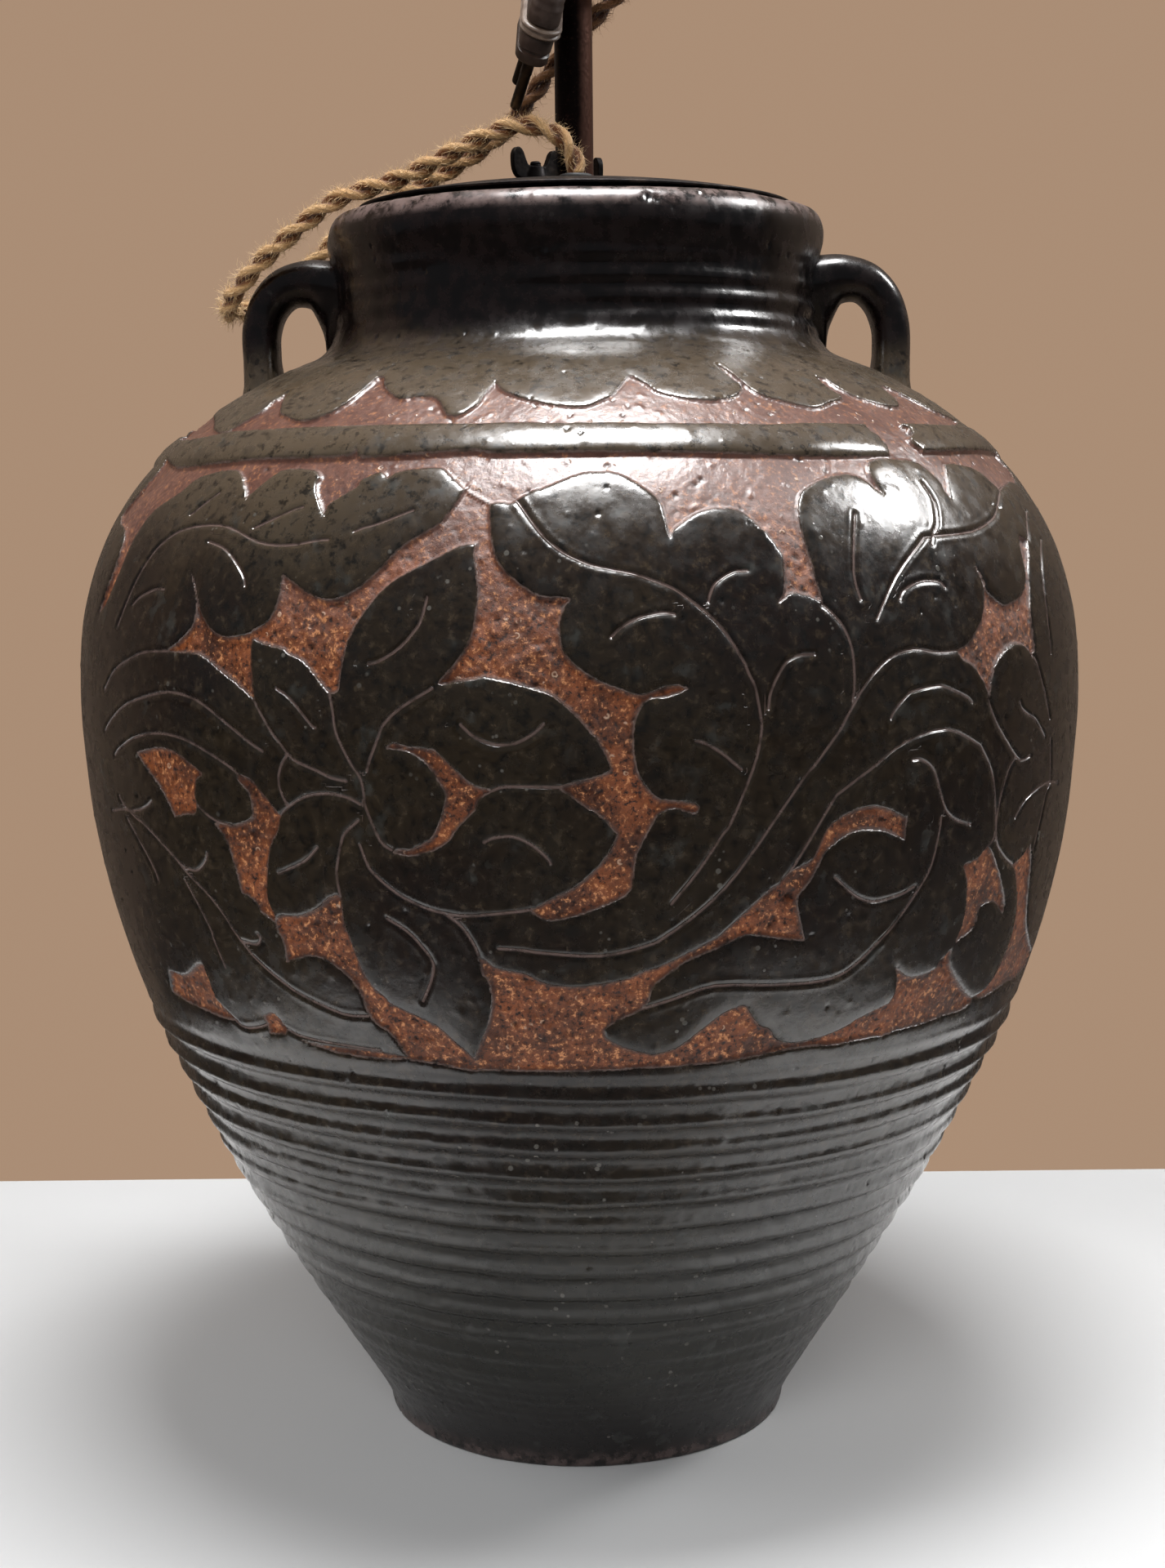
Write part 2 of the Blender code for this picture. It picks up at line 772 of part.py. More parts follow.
def inner_flex_points():
    """Down from the grommet, round one easy bend and up the pipe to its top."""
    bend_radius = abs(grommet_place.y) / 2.0
    bend_height = pipe_bottom - inner_bend_drop / 2.0
    start = Vector((grommet_place.x, grommet_place.y, grommet_top - gap))
    points = [start, Vector((grommet_place.x, grommet_place.y, bend_height))]
    turns = 10
    for i in range(1, turns):
        angle = math.pi * i / turns
        share = i / turns
        points.append(
            Vector((
                grommet_place.x * (1.0 - share),
                grommet_place.y / 2.0 - bend_radius * math.cos(angle),
                bend_height - bend_radius * math.sin(angle),
            ))
        )
    points += [Vector((0.0, 0.0, bend_height)), Vector((0.0, 0.0, pipe_top - flex_radius))]
    return points


def winding_point(angle, height):
    return Vector((winding_radius * math.cos(angle), winding_radius * math.sin(angle), height))


def winding_heading(angle):
    """The winding's direction as it climbs clockwise, seen from above."""
    flat = winding_radius * 2.0 * math.pi
    return Vector((math.sin(angle) * flat, -math.cos(angle) * flat, winding_pitch)).normalized()


def winding_points(turns):
    count = round(turns * winding_loop_points)
    points = []
    for i in range(count + 1):
        angle = winding_start_angle - turns * 2.0 * math.pi * i / count
        points.append(winding_point(angle, winding_start_height + turns * winding_pitch * i / count))
    end_angle = winding_start_angle - turns * 2.0 * math.pi
    lead_in = points[0] - winding_heading(winding_start_angle) * flex_diameter
    lead_out = points[-1] + winding_heading(end_angle) * flex_diameter
    return [lead_in] + points + [lead_out]


def least_self_gap(points, skip):
    """The least clear distance between stretches of the winding that aren't neighbours."""
    least = 1.0
    for i, here in enumerate(points):
        for there in points[i + skip:]:
            least = min(least, (there - here).length - flex_diameter)
    return least


def run_points():
    start = Vector((grommet_place.x, grommet_place.y, grommet_top + gap))
    first = winding_point(winding_start_angle, winding_start_height)
    heading = winding_heading(winding_start_angle)
    end = first - heading * (flex_diameter + gap)
    rise = start + Vector((0.0, 0.0, flex_radius))
    lead = end - heading * flex_diameter
    route = [rise] + [Vector(point) for point in flex_route] + [lead]
    return [start] + smooth_curve(route, flex_point_spacing) + [end]


def plug_frame():
    up = plug_up.normalized()
    across = (plug_across - up * plug_across.dot(up)).normalized()
    side = up.cross(across)
    rotation = Matrix((across, side, up)).transposed().to_4x4()
    return Matrix.Translation(plug_place) @ rotation


def tail_points(end):
    """From the winding's upper end, over and down to the plug's sleeve."""
    heading = winding_heading(winding_end_angle)
    start = end + heading * gap
    frame = plug_frame()
    up = plug_up.normalized()
    sleeve_top = plug_collar_height / 2.0 + gap + plug_shell_height + plug_sleeve_height
    entry = frame @ Vector((0.0, 0.0, sleeve_top + gap))
    route = [start + heading * flex_diameter]
    route += [Vector((x, y, end.z + z)) for x, y, z in tail_route]
    route += [Vector((x, y, entry.z + z)) for x, y, z in tail_foot]
    route.append(entry + up * flex_diameter)
    return [start] + smooth_curve(route, tail_point_spacing) + [entry]


def winding_turns():
    """Whole and part turns that make up the flex's length with the run and the tail."""
    part_turn = (winding_start_angle - winding_end_angle) / (2.0 * math.pi) % 1.0
    turn_length = math.hypot(2.0 * math.pi * winding_radius, winding_pitch)
    run = path_length(run_points())
    best = part_turn + 1.0
    for whole in range(1, 24):
        turns = whole + part_turn
        top = winding_points(turns)[-1]
        total = run + turns * turn_length + 2.0 * flex_diameter + path_length(tail_points(top))
        if total <= flex_length + turn_length / 2.0:
            best = turns
    return best


def build_flex(parts, jute):
    turns = winding_turns()
    wound = winding_points(turns)
    run = run_points()
    tail = tail_points(wound[-1])
    inner = inner_flex_points()
    print("flex run %.4f m, winding %.4f m, tail %.4f m, %.2f turns"
          % (path_length(run), path_length(wound), path_length(tail), turns))
    print("winding self gap %.2f mm" % (least_self_gap(wound, winding_loop_points // 2) / MM))
    return [
        tube("inner_flex", inner, flex_radius, parts, jute, flex_sides_resolution),
        tube("flex_run", run, flex_radius, parts, jute, flex_sides_resolution),
        tube("flex_winding", wound, flex_radius, parts, jute, 1),
        tube("flex_tail", tail, flex_radius, parts, jute, flex_sides_resolution),
    ]


def stadium(width, thickness):
    """A flat outline with two round ends, its long side along X."""
    radius = thickness / 2.0
    straight = width / 2.0 - radius
    points = []
    for side in (1.0, -1.0):
        for i in range(outline_steps + 1):
            angle = side * math.pi / 2.0 * -1.0 + math.pi * i / outline_steps
            if side > 0:
                points.append((straight + radius * math.cos(angle), radius * math.sin(angle)))
            else:
                points.append((-straight + radius * math.cos(angle), radius * math.sin(angle)))
    return points


def lofted(name, sections, collection, material):
    """A closed skin through sections that have the same number of points."""
    mesh = bpy.data.meshes.new(name)
    bm = bmesh.new()
    loops = []
    for outline, height in sections:
        loops.append([bm.verts.new((x, y, height)) for x, y in outline])
    for low, high in zip(loops, loops[1:]):
        for i in range(len(low)):
            j = (i + 1) % len(low)
            bm.faces.new((low[i], low[j], high[j], high[i]))
    bm.faces.new(list(reversed(loops[0])))
    bm.faces.new(loops[-1])
    bmesh.ops.recalc_face_normals(bm, faces=bm.faces)
    bm.to_mesh(mesh)
    bm.free()
    return add_object(name, mesh, collection, material)


def build_plug(parts, cutters, brown, pale, brass, seat):
    """The plug's base with its pins, the collar round it and the shell that the flex enters."""
    half_collar = plug_collar_height / 2.0
    base_high = -half_collar - gap
    base_low = base_high - plug_base_height
    base = lofted(
        "plug_base",
        [(stadium(plug_width, plug_thickness), base_low),
         (stadium(plug_width, plug_thickness), base_high)],
        parts, brown,
    )
    collar = lofted(
        "plug_collar",
        [(stadium(plug_collar_width, plug_collar_thickness), -half_collar),
         (stadium(plug_collar_width, plug_collar_thickness), half_collar)],
        parts, pale,
    )
    shell_low = half_collar + gap
    waist = shell_low + plug_shell_height * plug_shell_waist_share
    shell_high = shell_low + plug_shell_height
    sleeve = stadium(2.0 * plug_sleeve_radius, 2.0 * plug_sleeve_radius - gap)
    shell = lofted(
        "plug_shell",
        [(stadium(plug_width, plug_thickness), shell_low),
         (stadium(plug_width * 0.82, plug_thickness * 0.98), waist),
         (stadium(plug_width * 0.44, plug_thickness * 0.90), shell_high),
         (sleeve, shell_high + gap),
         (sleeve, shell_high + plug_sleeve_height)],
        parts, brown,
    )
    pins = []
    for name, side in (("rear", -1.0), ("front", 1.0)):
        x = side * plug_pin_spacing / 2.0
        low = base_low - plug_pin_length
        high = base_low + plug_pin_hold
        profile = [
            (0.0, high),
            (plug_pin_radius, high),
            (plug_pin_radius, low + plug_pin_tip),
            (plug_pin_radius * 0.6, low + plug_pin_tip * 0.2),
            (0.0, low),
        ]
        pin = turned("plug_pin_" + name, profile, parts, brass, steps=12)
        pin.location = (x, 0.0, 0.0)
        pins.append(pin)
        hole = cylinder("plug_pin_hole_" + name, plug_pin_radius + gap, base_low - overrun,
                        high + gap, cutters, sides=12, place=(x, 0.0))
        hole.parent = seat
        cut(base, make_cutter(hole))
    for piece in (base, collar, shell, *pins):
        piece.parent = seat
    return [base, collar, shell, *pins]


def carry(pieces, empty):
    """Hang pieces on an empty without moving them."""
    bpy.context.view_layer.update()
    for piece in pieces:
        piece.parent = empty
        piece.matrix_parent_inverse = empty.matrix_world.inverted()


def make_empty(name, place, collection):
    empty = bpy.data.objects.new(name, None)
    collection.objects.link(empty)
    empty.location = place
    return empty


def main():
    clear_scene()
    parts = make_collection("stoneware_jar_lamp")
    cutters = make_collection("cutters")
    glaze = make_material("olive_black_glaze", (0.045, 0.040, 0.028), 0.22)
    bronze = make_material("dark_bronze", (0.075, 0.045, 0.030), 0.38, 0.85)
    steel = make_material("plain_steel", (0.42, 0.41, 0.39), 0.42, 1.0)
    rubber = make_material("black_rubber", (0.02, 0.02, 0.02), 0.65)
    jute = make_material("jute_flex", (0.50, 0.33, 0.15), 0.90)
    brown = make_material("brown_moulding", (0.085, 0.055, 0.035), 0.40)
    pale = make_material("brown_collar", (0.17, 0.12, 0.08), 0.45)
    brass = make_material("tarnished_brass", (0.10, 0.07, 0.045), 0.40, 0.9)

    build_jar(parts, glaze)
    jar_cutter = make_jar_cutter(cutters)
    build_handle("handle_left", -1.0, parts, glaze, jar_cutter)
    build_handle("handle_right", 1.0, parts, glaze, jar_cutter)

    lift = make_empty("fitting_lift", (0.0, 0.0, cap_under), parts)
    fitting = [build_cap(parts, cutters, bronze), build_grommet(parts, rubber)]
    fitting += build_stem(parts, cutters, bronze, steel)
    fitting += build_flex(parts, jute)
    left = polar(stud_circle, stud_left_angle)
    right = polar(stud_circle, stud_right_angle)
    fitting.append(build_wing_washer("wing_washer_left", left, parts, bronze))
    fitting.append(build_wing_washer("wing_washer_right", right, parts, bronze))
    seat = make_empty("plug_seat", plug_place, parts)
    seat.matrix_world = plug_frame()
    build_plug(parts, cutters, brown, pale, brass, seat)
    carry(fitting + [seat], lift)
    nuts = [
        build_wing_nut("wing_nut_left", left, wing_left_turn, parts, cutters, bronze),
        build_wing_nut("wing_nut_right", right, wing_right_turn, parts, cutters, bronze),
    ]
    carry(nuts, lift)
    drop = make_empty("clamp_drop", (0.0, 0.0, clamp_top()), parts)
    carry(build_clamp(parts, cutters, steel), drop)
    bpy.context.view_layer.update()


main()
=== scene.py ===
import math

import bmesh
import bpy
import numpy as np
from mathutils import Matrix, Vector


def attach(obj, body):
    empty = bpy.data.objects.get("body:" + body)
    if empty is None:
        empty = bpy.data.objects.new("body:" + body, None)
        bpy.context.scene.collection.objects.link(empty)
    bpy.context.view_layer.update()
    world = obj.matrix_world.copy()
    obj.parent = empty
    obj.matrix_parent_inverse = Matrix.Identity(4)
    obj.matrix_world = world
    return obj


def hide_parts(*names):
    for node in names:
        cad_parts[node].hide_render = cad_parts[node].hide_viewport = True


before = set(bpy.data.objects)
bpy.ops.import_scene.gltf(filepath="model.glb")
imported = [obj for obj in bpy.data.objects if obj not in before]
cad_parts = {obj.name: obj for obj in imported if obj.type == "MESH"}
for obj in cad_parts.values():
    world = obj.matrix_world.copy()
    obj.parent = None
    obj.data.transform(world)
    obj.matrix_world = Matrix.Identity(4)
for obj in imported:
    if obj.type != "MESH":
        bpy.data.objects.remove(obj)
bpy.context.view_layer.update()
mm = 0.001
fullTurn = 2.0 * math.pi

cameraSetup = {
    "place": (0.0, -0.7789, 0.3221),
    "downDegrees": 7.281,
    "turnDegrees": 0.039,
    "rollDegrees": 0.597,
    "focalPixels": 2709.4,
    "photoSize": (1426, 1920),
    "longSide": 36.0,
}


def cameraAxes(setup):
    down = math.radians(setup["downDegrees"])
    turn = math.radians(setup["turnDegrees"])
    roll = math.radians(setup["rollDegrees"])
    ahead = Vector((math.sin(turn) * math.cos(down), math.cos(turn) * math.cos(down),
                    -math.sin(down)))
    right = ahead.cross(Vector((0.0, 0.0, 1.0))).normalized()
    up = right.cross(ahead)
    tippedRight = right * math.cos(roll) - up * math.sin(roll)
    tippedUp = up * math.cos(roll) + right * math.sin(roll)
    return tippedRight, tippedUp, ahead


def makeCamera(setup):
    right, up, ahead = cameraAxes(setup)
    lens = bpy.data.cameras.new("jarCamera")
    lens.sensor_width = setup["longSide"]
    lens.lens = setup["longSide"] * setup["focalPixels"] / max(setup["photoSize"])
    camera = bpy.data.objects.new("jarCamera", lens)
    bpy.context.scene.collection.objects.link(camera)
    turned = Matrix((right, up, -ahead)).transposed().to_4x4()
    camera.matrix_world = Matrix.Translation(setup["place"]) @ turned
    bpy.context.scene.camera = camera


makeCamera(cameraSetup)
print("camera stands where the photograph was taken")


# Small helpers for nodes and meshes

def node(tree, kind, inputs=None, **settings):
    made = tree.nodes.new(kind)
    for key, value in settings.items():
        setattr(made, key, value)
    for key, value in (inputs or {}).items():
        if isinstance(value, bpy.types.NodeSocket):
            tree.links.new(value, made.inputs[key])
        else:
            made.inputs[key].default_value = value
    return made


def calc(tree, how, first, second=0.0):
    return node(tree, "ShaderNodeMath", {0: first, 1: second}, operation=how).outputs[0]


def times(tree, first, second):
    return calc(tree, "MULTIPLY", first, second)


def plus(tree, first, second):
    return calc(tree, "ADD", first, second)


def absolute(tree, value):
    return calc(tree, "ABSOLUTE", value)


def spread(tree, value, low, high, outLow=0.0, outHigh=1.0):
    made = node(tree, "ShaderNodeMapRange",
                {"Value": value, "From Min": low, "From Max": high,
                 "To Min": outLow, "To Max": outHigh}, interpolation_type="SMOOTHSTEP")
    return made.outputs[0]


def blendColour(tree, share, first, second, how="MIX"):
    made = node(tree, "ShaderNodeMix", {0: share, 6: first, 7: second}, data_type="RGBA",
                blend_type=how)
    return made.outputs[2]


def grain(tree, where, scale, detail=3.0, roughness=0.55, stretch=None):
    if stretch:
        where = node(tree, "ShaderNodeMapping", {"Vector": where, "Scale": stretch}).outputs[0]
    made = node(tree, "ShaderNodeTexNoise",
                {"Vector": where, "Scale": scale, "Detail": detail, "Roughness": roughness})
    return made.outputs[0]


def colour(red, green, blue):
    return (red, green, blue, 1.0)


def startMaterial(name):
    material = bpy.data.materials.new(name)
    material.use_nodes = True
    tree = material.node_tree
    where = node(tree, "ShaderNodeTexCoord").outputs["Object"]
    return material, tree, tree.nodes["Principled BSDF"], where


def attribute(tree, name):
    return node(tree, "ShaderNodeAttribute", attribute_name=name).outputs["Fac"]


def bumped(tree, shader, height, distance, strength=1.0):
    made = node(tree, "ShaderNodeBump", {"Height": height, "Distance": distance,
                                         "Strength": strength})
    tree.links.new(made.outputs[0], shader.inputs["Normal"])


def putIn(name, mesh, material, smooth=True):
    item = bpy.data.objects.new(name, mesh)
    bpy.context.scene.collection.objects.link(item)
    mesh.materials.clear()
    mesh.materials.append(material)
    if smooth:
        mesh.shade_smooth()
    return item


def settle(item, body, slotName, *nodes):
    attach(item, body)
    if nodes:
        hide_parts(*nodes)
    return item


def mended(mesh, join=0.0):
    # Points closer than join become one, and every face looks outward
    work = bmesh.new()
    work.from_mesh(mesh)
    if join:
        bmesh.ops.remove_doubles(work, verts=work.verts, dist=join)
    bmesh.ops.recalc_face_normals(work, faces=work.faces)
    work.to_mesh(mesh)
    work.free()
    return mesh


def setField(mesh, name, values):
    field = mesh.attributes.new(name, "FLOAT", "POINT")
    field.data.foreach_set("value", np.ascontiguousarray(values, dtype=np.float32).ravel())


def gridFaces(rows, columns, base=0, wrapAround=True, capEnds=True):
    index = np.arange(rows * columns).reshape(rows, columns) + base
    right = np.roll(index, -1, axis=1) if wrapAround else index[:, 1:]
    left = index if wrapAround else index[:, :-1]
    faces = np.stack([left[:-1], right[:-1], right[1:], left[1:]], axis=-1).reshape(-1, 4)
    ends = [index[0][::-1].tolist(), index[-1].tolist()] if capEnds else []
    return faces.tolist() + ends


def gridMesh(name, points, wrapAround=False, capEnds=False):
    faces = gridFaces(*points.shape[:2], wrapAround=wrapAround, capEnds=capEnds)
    mesh = bpy.data.meshes.new(name)
    mesh.from_pydata(points.reshape(-1, 3).tolist(), [], faces)
    return mesh


def roundPoints(radius, angles, height):
    # Rows of points round an upright axis
    return np.stack(np.broadcast_arrays(radius * np.cos(angles), radius * np.sin(angles), height),
                    axis=-1)


def lengthAlong(line):
    return np.concatenate([[0.0], np.cumsum(np.linalg.norm(np.diff(line, axis=0), axis=1))])


def turnedMesh(name, profile, steps, closed=True, place=(0.0, 0.0)):
    # The profile, radius and height, turned about an upright axis through place
    angles = np.linspace(0.0, fullTurn, steps, endpoint=False)
    outline = np.array(profile)
    points = roundPoints(outline[:, :1], angles, outline[:, 1:]) + (*place, 0.0)
    if closed:
        points = np.concatenate([points, points[:1]])
    return mended(gridMesh(name, points, wrapAround=True), join=0.002 * mm)


def roundedOutline(corners, radius):
    # Each corner becomes a small arc that takes at most this share of its sides
    arcSteps, sideShare, tooShort = 4, 0.42, 1e-7
    made = []
    count = len(corners)
    for i in range(count):
        here = Vector(corners[i])
        toBefore = Vector(corners[i - 1]) - here
        toAfter = Vector(corners[(i + 1) % count]) - here
        if toBefore.length < tooShort or toAfter.length < tooShort:
            continue
        room = min(radius, sideShare * toBefore.length, sideShare * toAfter.length)
        start = here + toBefore.normalized() * room
        end = here + toAfter.normalized() * room
        for k in range(arcSteps + 1):
            t = k / arcSteps
            point = start * (1 - t) ** 2 + here * 2 * t * (1 - t) + end * t ** 2
            made.append((max(point.x, 0.0), point.y))
    return made


# The flex: its route is the one that its solids follow

flexSetup = {
    "diameter": 6.4 * mm,
    "length": 1.8,
    "start": (0.4 * mm, -28.0 * mm, 429.5 * mm),
    "strandOffset": 1.62 * mm,
    "strandAcross": 1.62 * mm,
    "strandAround": 1.82 * mm,
    "lay": 20.6 * mm,
    "yarns": 5,
    "yarnDepth": 0.17 * mm,
    "yarnLay": 9.0 * mm,
    "sides": 22,
    "swell": 0.05,
    "roughness": 0.028,
    "routeStep": 2.0 * mm,
    "fineStep": 0.62 * mm,
    "plainStep": 1.25 * mm,
    "windRadius": 13.4 * mm,
    "windPitch": 7.0 * mm,
    "windStart": math.radians(-110.0),
    "windHeight": 506.6 * mm,
    "windTurns": 14.0 + 250.0 / 360.0,
    "turnPoints": 40,
    "intoSleeve": 4.0 * mm,
}
innerSetup = {"top": 428.9 * mm, "bendHeight": 397.2 * mm, "end": 642.8 * mm, "bendSteps": 10}

flexRoute = [
    (-1, -28, 437), (-5.2, -27.8, 441.8), (-12, -27, 444.9), (-19, -25.5, 445.4),
    (-28.5, -23.5, 443.1), (-41.5, -21, 437.4), (-55.5, -19, 431), (-68, -17.5, 427.2),
    (-79, -17, 423.8), (-88.6, -15.8, 418), (-98.4, -13.8, 410.6), (-107.4, -10.8, 403.4),
    (-115, -6.4, 396), (-119.8, 0.4, 391), (-121, 9, 388.6), (-117.6, 17, 389.6),
    (-110.5, 22.2, 393.6), (-101, 25.6, 400), (-91, 28, 409.6), (-79.6, 30, 421.2),
    (-66, 30.4, 428.8), (-53, 28.6, 434.8), (-41, 26, 440.8), (-30, 23.2, 447.4),
    (-21.5, 20.4, 454.6), (-14.6, 17.8, 462.6), (-7.6, 16, 471.4), (0, 15.2, 480),
    (6.8, 14.6, 487.4), (13.2, 12.6, 493.6), (19.4, 8.8, 498.2), (23.6, 3, 501.4),
    (24.8, -4, 503.4), (22.6, -10.6, 504.6), (17.8, -15.4, 505.3), (12.6, -17.8, 505.7),
]

# Below the winding's last turn, and above the plug: (x, y, height from there) in mm
flexTail = [(12, -21.6, -0.4), (9.4, -30.6, -4.4), (6.6, -37.6, -13), (4.4, -41.8, -25.6),
            (2.8, -44.6, -41)]
flexFoot = [(1, -46.2, 19), (0, -44.4, 9)]

plugSetup = {
    "place": Vector((-10.3, -24.0, 481.7)) * mm,
    "up": Vector((0.309, -0.551, 0.775)),
    "across": Vector((-0.018, -0.818, -0.574)),
    "width": 33.4 * mm,
    "thickness": 11.0 * mm,
    "baseHeight": 9.6 * mm,
    "collarWidth": 35.8 * mm,
    "collarThickness": 14.0 * mm,
    "collarHeight": 3.4 * mm,
    "shellHeight": 20.0 * mm,
    "sleeveRadius": 4.8 * mm,
    "sleeveHeight": 6.0 * mm,
    "pinSpacing": 19.0 * mm,
    "pinRadius": 2.0 * mm,
    "pinLength": 19.0 * mm,
    "pinHold": 6.0 * mm,
    "gap": 0.3 * mm,
}


def eased(points, slices):
    # A smooth line through the points, with this many steps from each to the next
    ends = [2.0 * points[0] - points[1]] + points + [2.0 * points[-1] - points[-2]]
    made = []
    for i in range(1, len(ends) - 2):
        before, start, end, after = ends[i - 1:i + 3]
        for k in range(slices):
            t = k / slices
            made.append(start * (2 * t**3 - 3 * t**2 + 1)
                        + (end - before) / 2.0 * (t**3 - 2 * t**2 + t)
                        + end * (3 * t**2 - 2 * t**3)
                        + (after - start) / 2.0 * (t**3 - t**2))
    return [tuple(point) for point in made + [points[-1]]]


def smoothCurve(points, spacing):
    return evenly(eased([Vector(point) for point in points], 16), spacing)


def evenly(points, spacing):
    line = np.array(points)
    lengths = lengthAlong(line)
    count = max(2, round(lengths[-1] / spacing))
    marks = np.linspace(0.0, lengths[-1], count + 1)
    made = [np.interp(marks, lengths, line[:, axis]) for axis in range(line.shape[1])]
    return [Vector(point) for point in zip(*made)]


def windPoint(angle, height):
    radius = flexSetup["windRadius"]
    return Vector((radius * math.cos(angle), radius * math.sin(angle), height))


def windHeading(angle):
    flat = flexSetup["windRadius"] * fullTurn
    return Vector((math.sin(angle) * flat, -math.cos(angle) * flat,
                   flexSetup["windPitch"])).normalized()


def plugFrame():
    up = plugSetup["up"].normalized()
    across = plugSetup["across"]
    across = (across - up * across.dot(up)).normalized()
    side = up.cross(across)
    rotation = Matrix((across, side, up)).transposed().to_4x4()
    return Matrix.Translation(plugSetup["place"]) @ rotation


def flexPath():
    flex, plug = flexSetup, plugSetup
    thick, gap = flex["diameter"], plug["gap"]
    start = Vector(flex["start"])
    heading = windHeading(flex["windStart"])
    first = windPoint(flex["windStart"], flex["windHeight"])
    end = first - heading * (thick + gap)
    route = [start + Vector((0.0, 0.0, thick / 2.0))]
    route += [Vector(point) * mm for point in flexRoute] + [end - heading * thick]
    run = [start] + smoothCurve(route, flex["routeStep"]) + [end]
    turns = flex["windTurns"]
    count = round(turns * flex["turnPoints"])
    wound = []
    for i in range(count + 1):
        share = i / count
        wound.append(windPoint(flex["windStart"] - turns * fullTurn * share,
                               flex["windHeight"] + turns * flex["windPitch"] * share))
    lastHeading = windHeading(flex["windStart"] - turns * fullTurn)
    leave = wound[-1] + lastHeading * (thick + gap)
    up = plug["up"].normalized()
    sleeveTop = plug["collarHeight"] / 2.0 + gap + plug["shellHeight"] + plug["sleeveHeight"]
    entry = plugFrame() @ Vector((0.0, 0.0, sleeveTop + gap))
    drop = [leave + lastHeading * thick]
    drop += [Vector((x * mm, y * mm, wound[-1].z + lastHeading.z * thick + z * mm))
             for x, y, z in flexTail]
    drop += [Vector((x * mm, y * mm, entry.z + z * mm)) for x, y, z in flexFoot]
    drop += [entry + up * thick]
    tail = [leave] + smoothCurve(drop, flex["routeStep"]) + [entry - up * flex["intoSleeve"]]
    return run, wound, tail


def innerPath():
    # Down from the grommet, round one bend and up the pipe to its top
    inner = innerSetup
    x, y = flexSetup["start"][:2]
    radius, height = abs(y) / 2.0, inner["bendHeight"]
    points = [(x, y, inner["top"]), (x, y, height)]
    for i in range(1, inner["bendSteps"]):
        share = i / inner["bendSteps"]
        points.append((x * (1 - share), y / 2 - radius * math.cos(math.pi * share),
                       height - radius * math.sin(math.pi * share)))
    points += [(0.0, 0.0, height), (0.0, 0.0, inner["end"])]
    return smoothCurve(points, flexSetup["routeStep"])


def carriedFrames(points):
    # Along a line: its heading, and two directions across it that don't twist
    line = np.array([tuple(point) for point in points])
    ahead = np.gradient(line, axis=0)
    ahead /= np.linalg.norm(ahead, axis=1)[:, None]
    side = np.cross(ahead[0], [0.31, 0.2, 0.93])
    sides = []
    for heading in ahead:
        side = side - heading * np.dot(side, heading)
        side /= np.linalg.norm(side)
        sides.append(side.copy())
    sides = np.array(sides)
    return line, ahead, sides, np.cross(ahead, sides)


def strandSides(points, strand):
    # The middle line, the length along it, and one strand's two directions there
    line, ahead, sides, others = carriedFrames(points)
    along = lengthAlong(line)
    marks = np.arange(0.0, along[-1] + 0.05, 0.02)
    drift = np.random.default_rng(5).normal(0.0, 0.16, len(marks))
    twist = fullTurn * along / flexSetup["lay"] + np.interp(along, marks, drift) + math.pi * strand
    outward = sides * np.cos(twist)[:, None] + others * np.sin(twist)[:, None]
    sideways = -sides * np.sin(twist)[:, None] + others * np.cos(twist)[:, None]
    return line, ahead, along, outward, sideways


def ropeMesh(name, points, squeeze=1.0):
    flex = flexSetup
    around = np.linspace(0.0, fullTurn, flex["sides"], endpoint=False)
    verts, faces, alongField, aroundField, depthField = [], [], [], [], []
    rough = np.random.default_rng(12)
    for strand in range(2):
        line, _, along, outward, sideways = strandSides(points, strand)
        phase = flex["yarns"] * around[None, :] - fullTurn * along[:, None] / flex["yarnLay"]
        yarn = flex["yarnDepth"] * (np.abs(np.cos(phase / 2.0)) - 0.6)
        wave = np.sin(along[:, None] * 310.0 + strand * 2.1 + around[None, :])
        swell = 1.0 + flex["swell"] * wave + rough.normal(0.0, flex["roughness"], wave.shape)
        radial = (flex["strandAcross"] * squeeze * swell + yarn) * np.cos(around)[None, :]
        sideward = (flex["strandAround"] * squeeze * swell + yarn) * np.sin(around)[None, :]
        centre = line + outward * flex["strandOffset"] * squeeze
        ring = (centre[:, None, :] + outward[:, None, :] * radial[..., None]
                + sideways[:, None, :] * sideward[..., None])
        rows, columns = ring.shape[:2]
        faces += gridFaces(rows, columns, len(verts))
        verts += ring.reshape(-1, 3).tolist()
        alongField.append(np.repeat(along, columns))
        aroundField.append(np.tile(around, rows) + strand * 1.7)
        depthField.append(np.tile(np.cos(around), rows))
    mesh = bpy.data.meshes.new(name)
    mesh.from_pydata(verts, [], faces)
    setField(mesh, "ropeAlong", np.concatenate(alongField))
    setField(mesh, "ropeAround", np.concatenate(aroundField))
    setField(mesh, "ropeOut", np.concatenate(depthField))
    return mesh


hairSetup = {
    "countOnRun": 7400,
    "countOnTail": 2400,
    "length": (1.3 * mm, 4.6 * mm),
    "lift": (0.25, 1.25),
    "curl": 0.35,
    "radius": (0.090 * mm, 0.160 * mm),
    "steps": 4,
    "sides": 3,
}


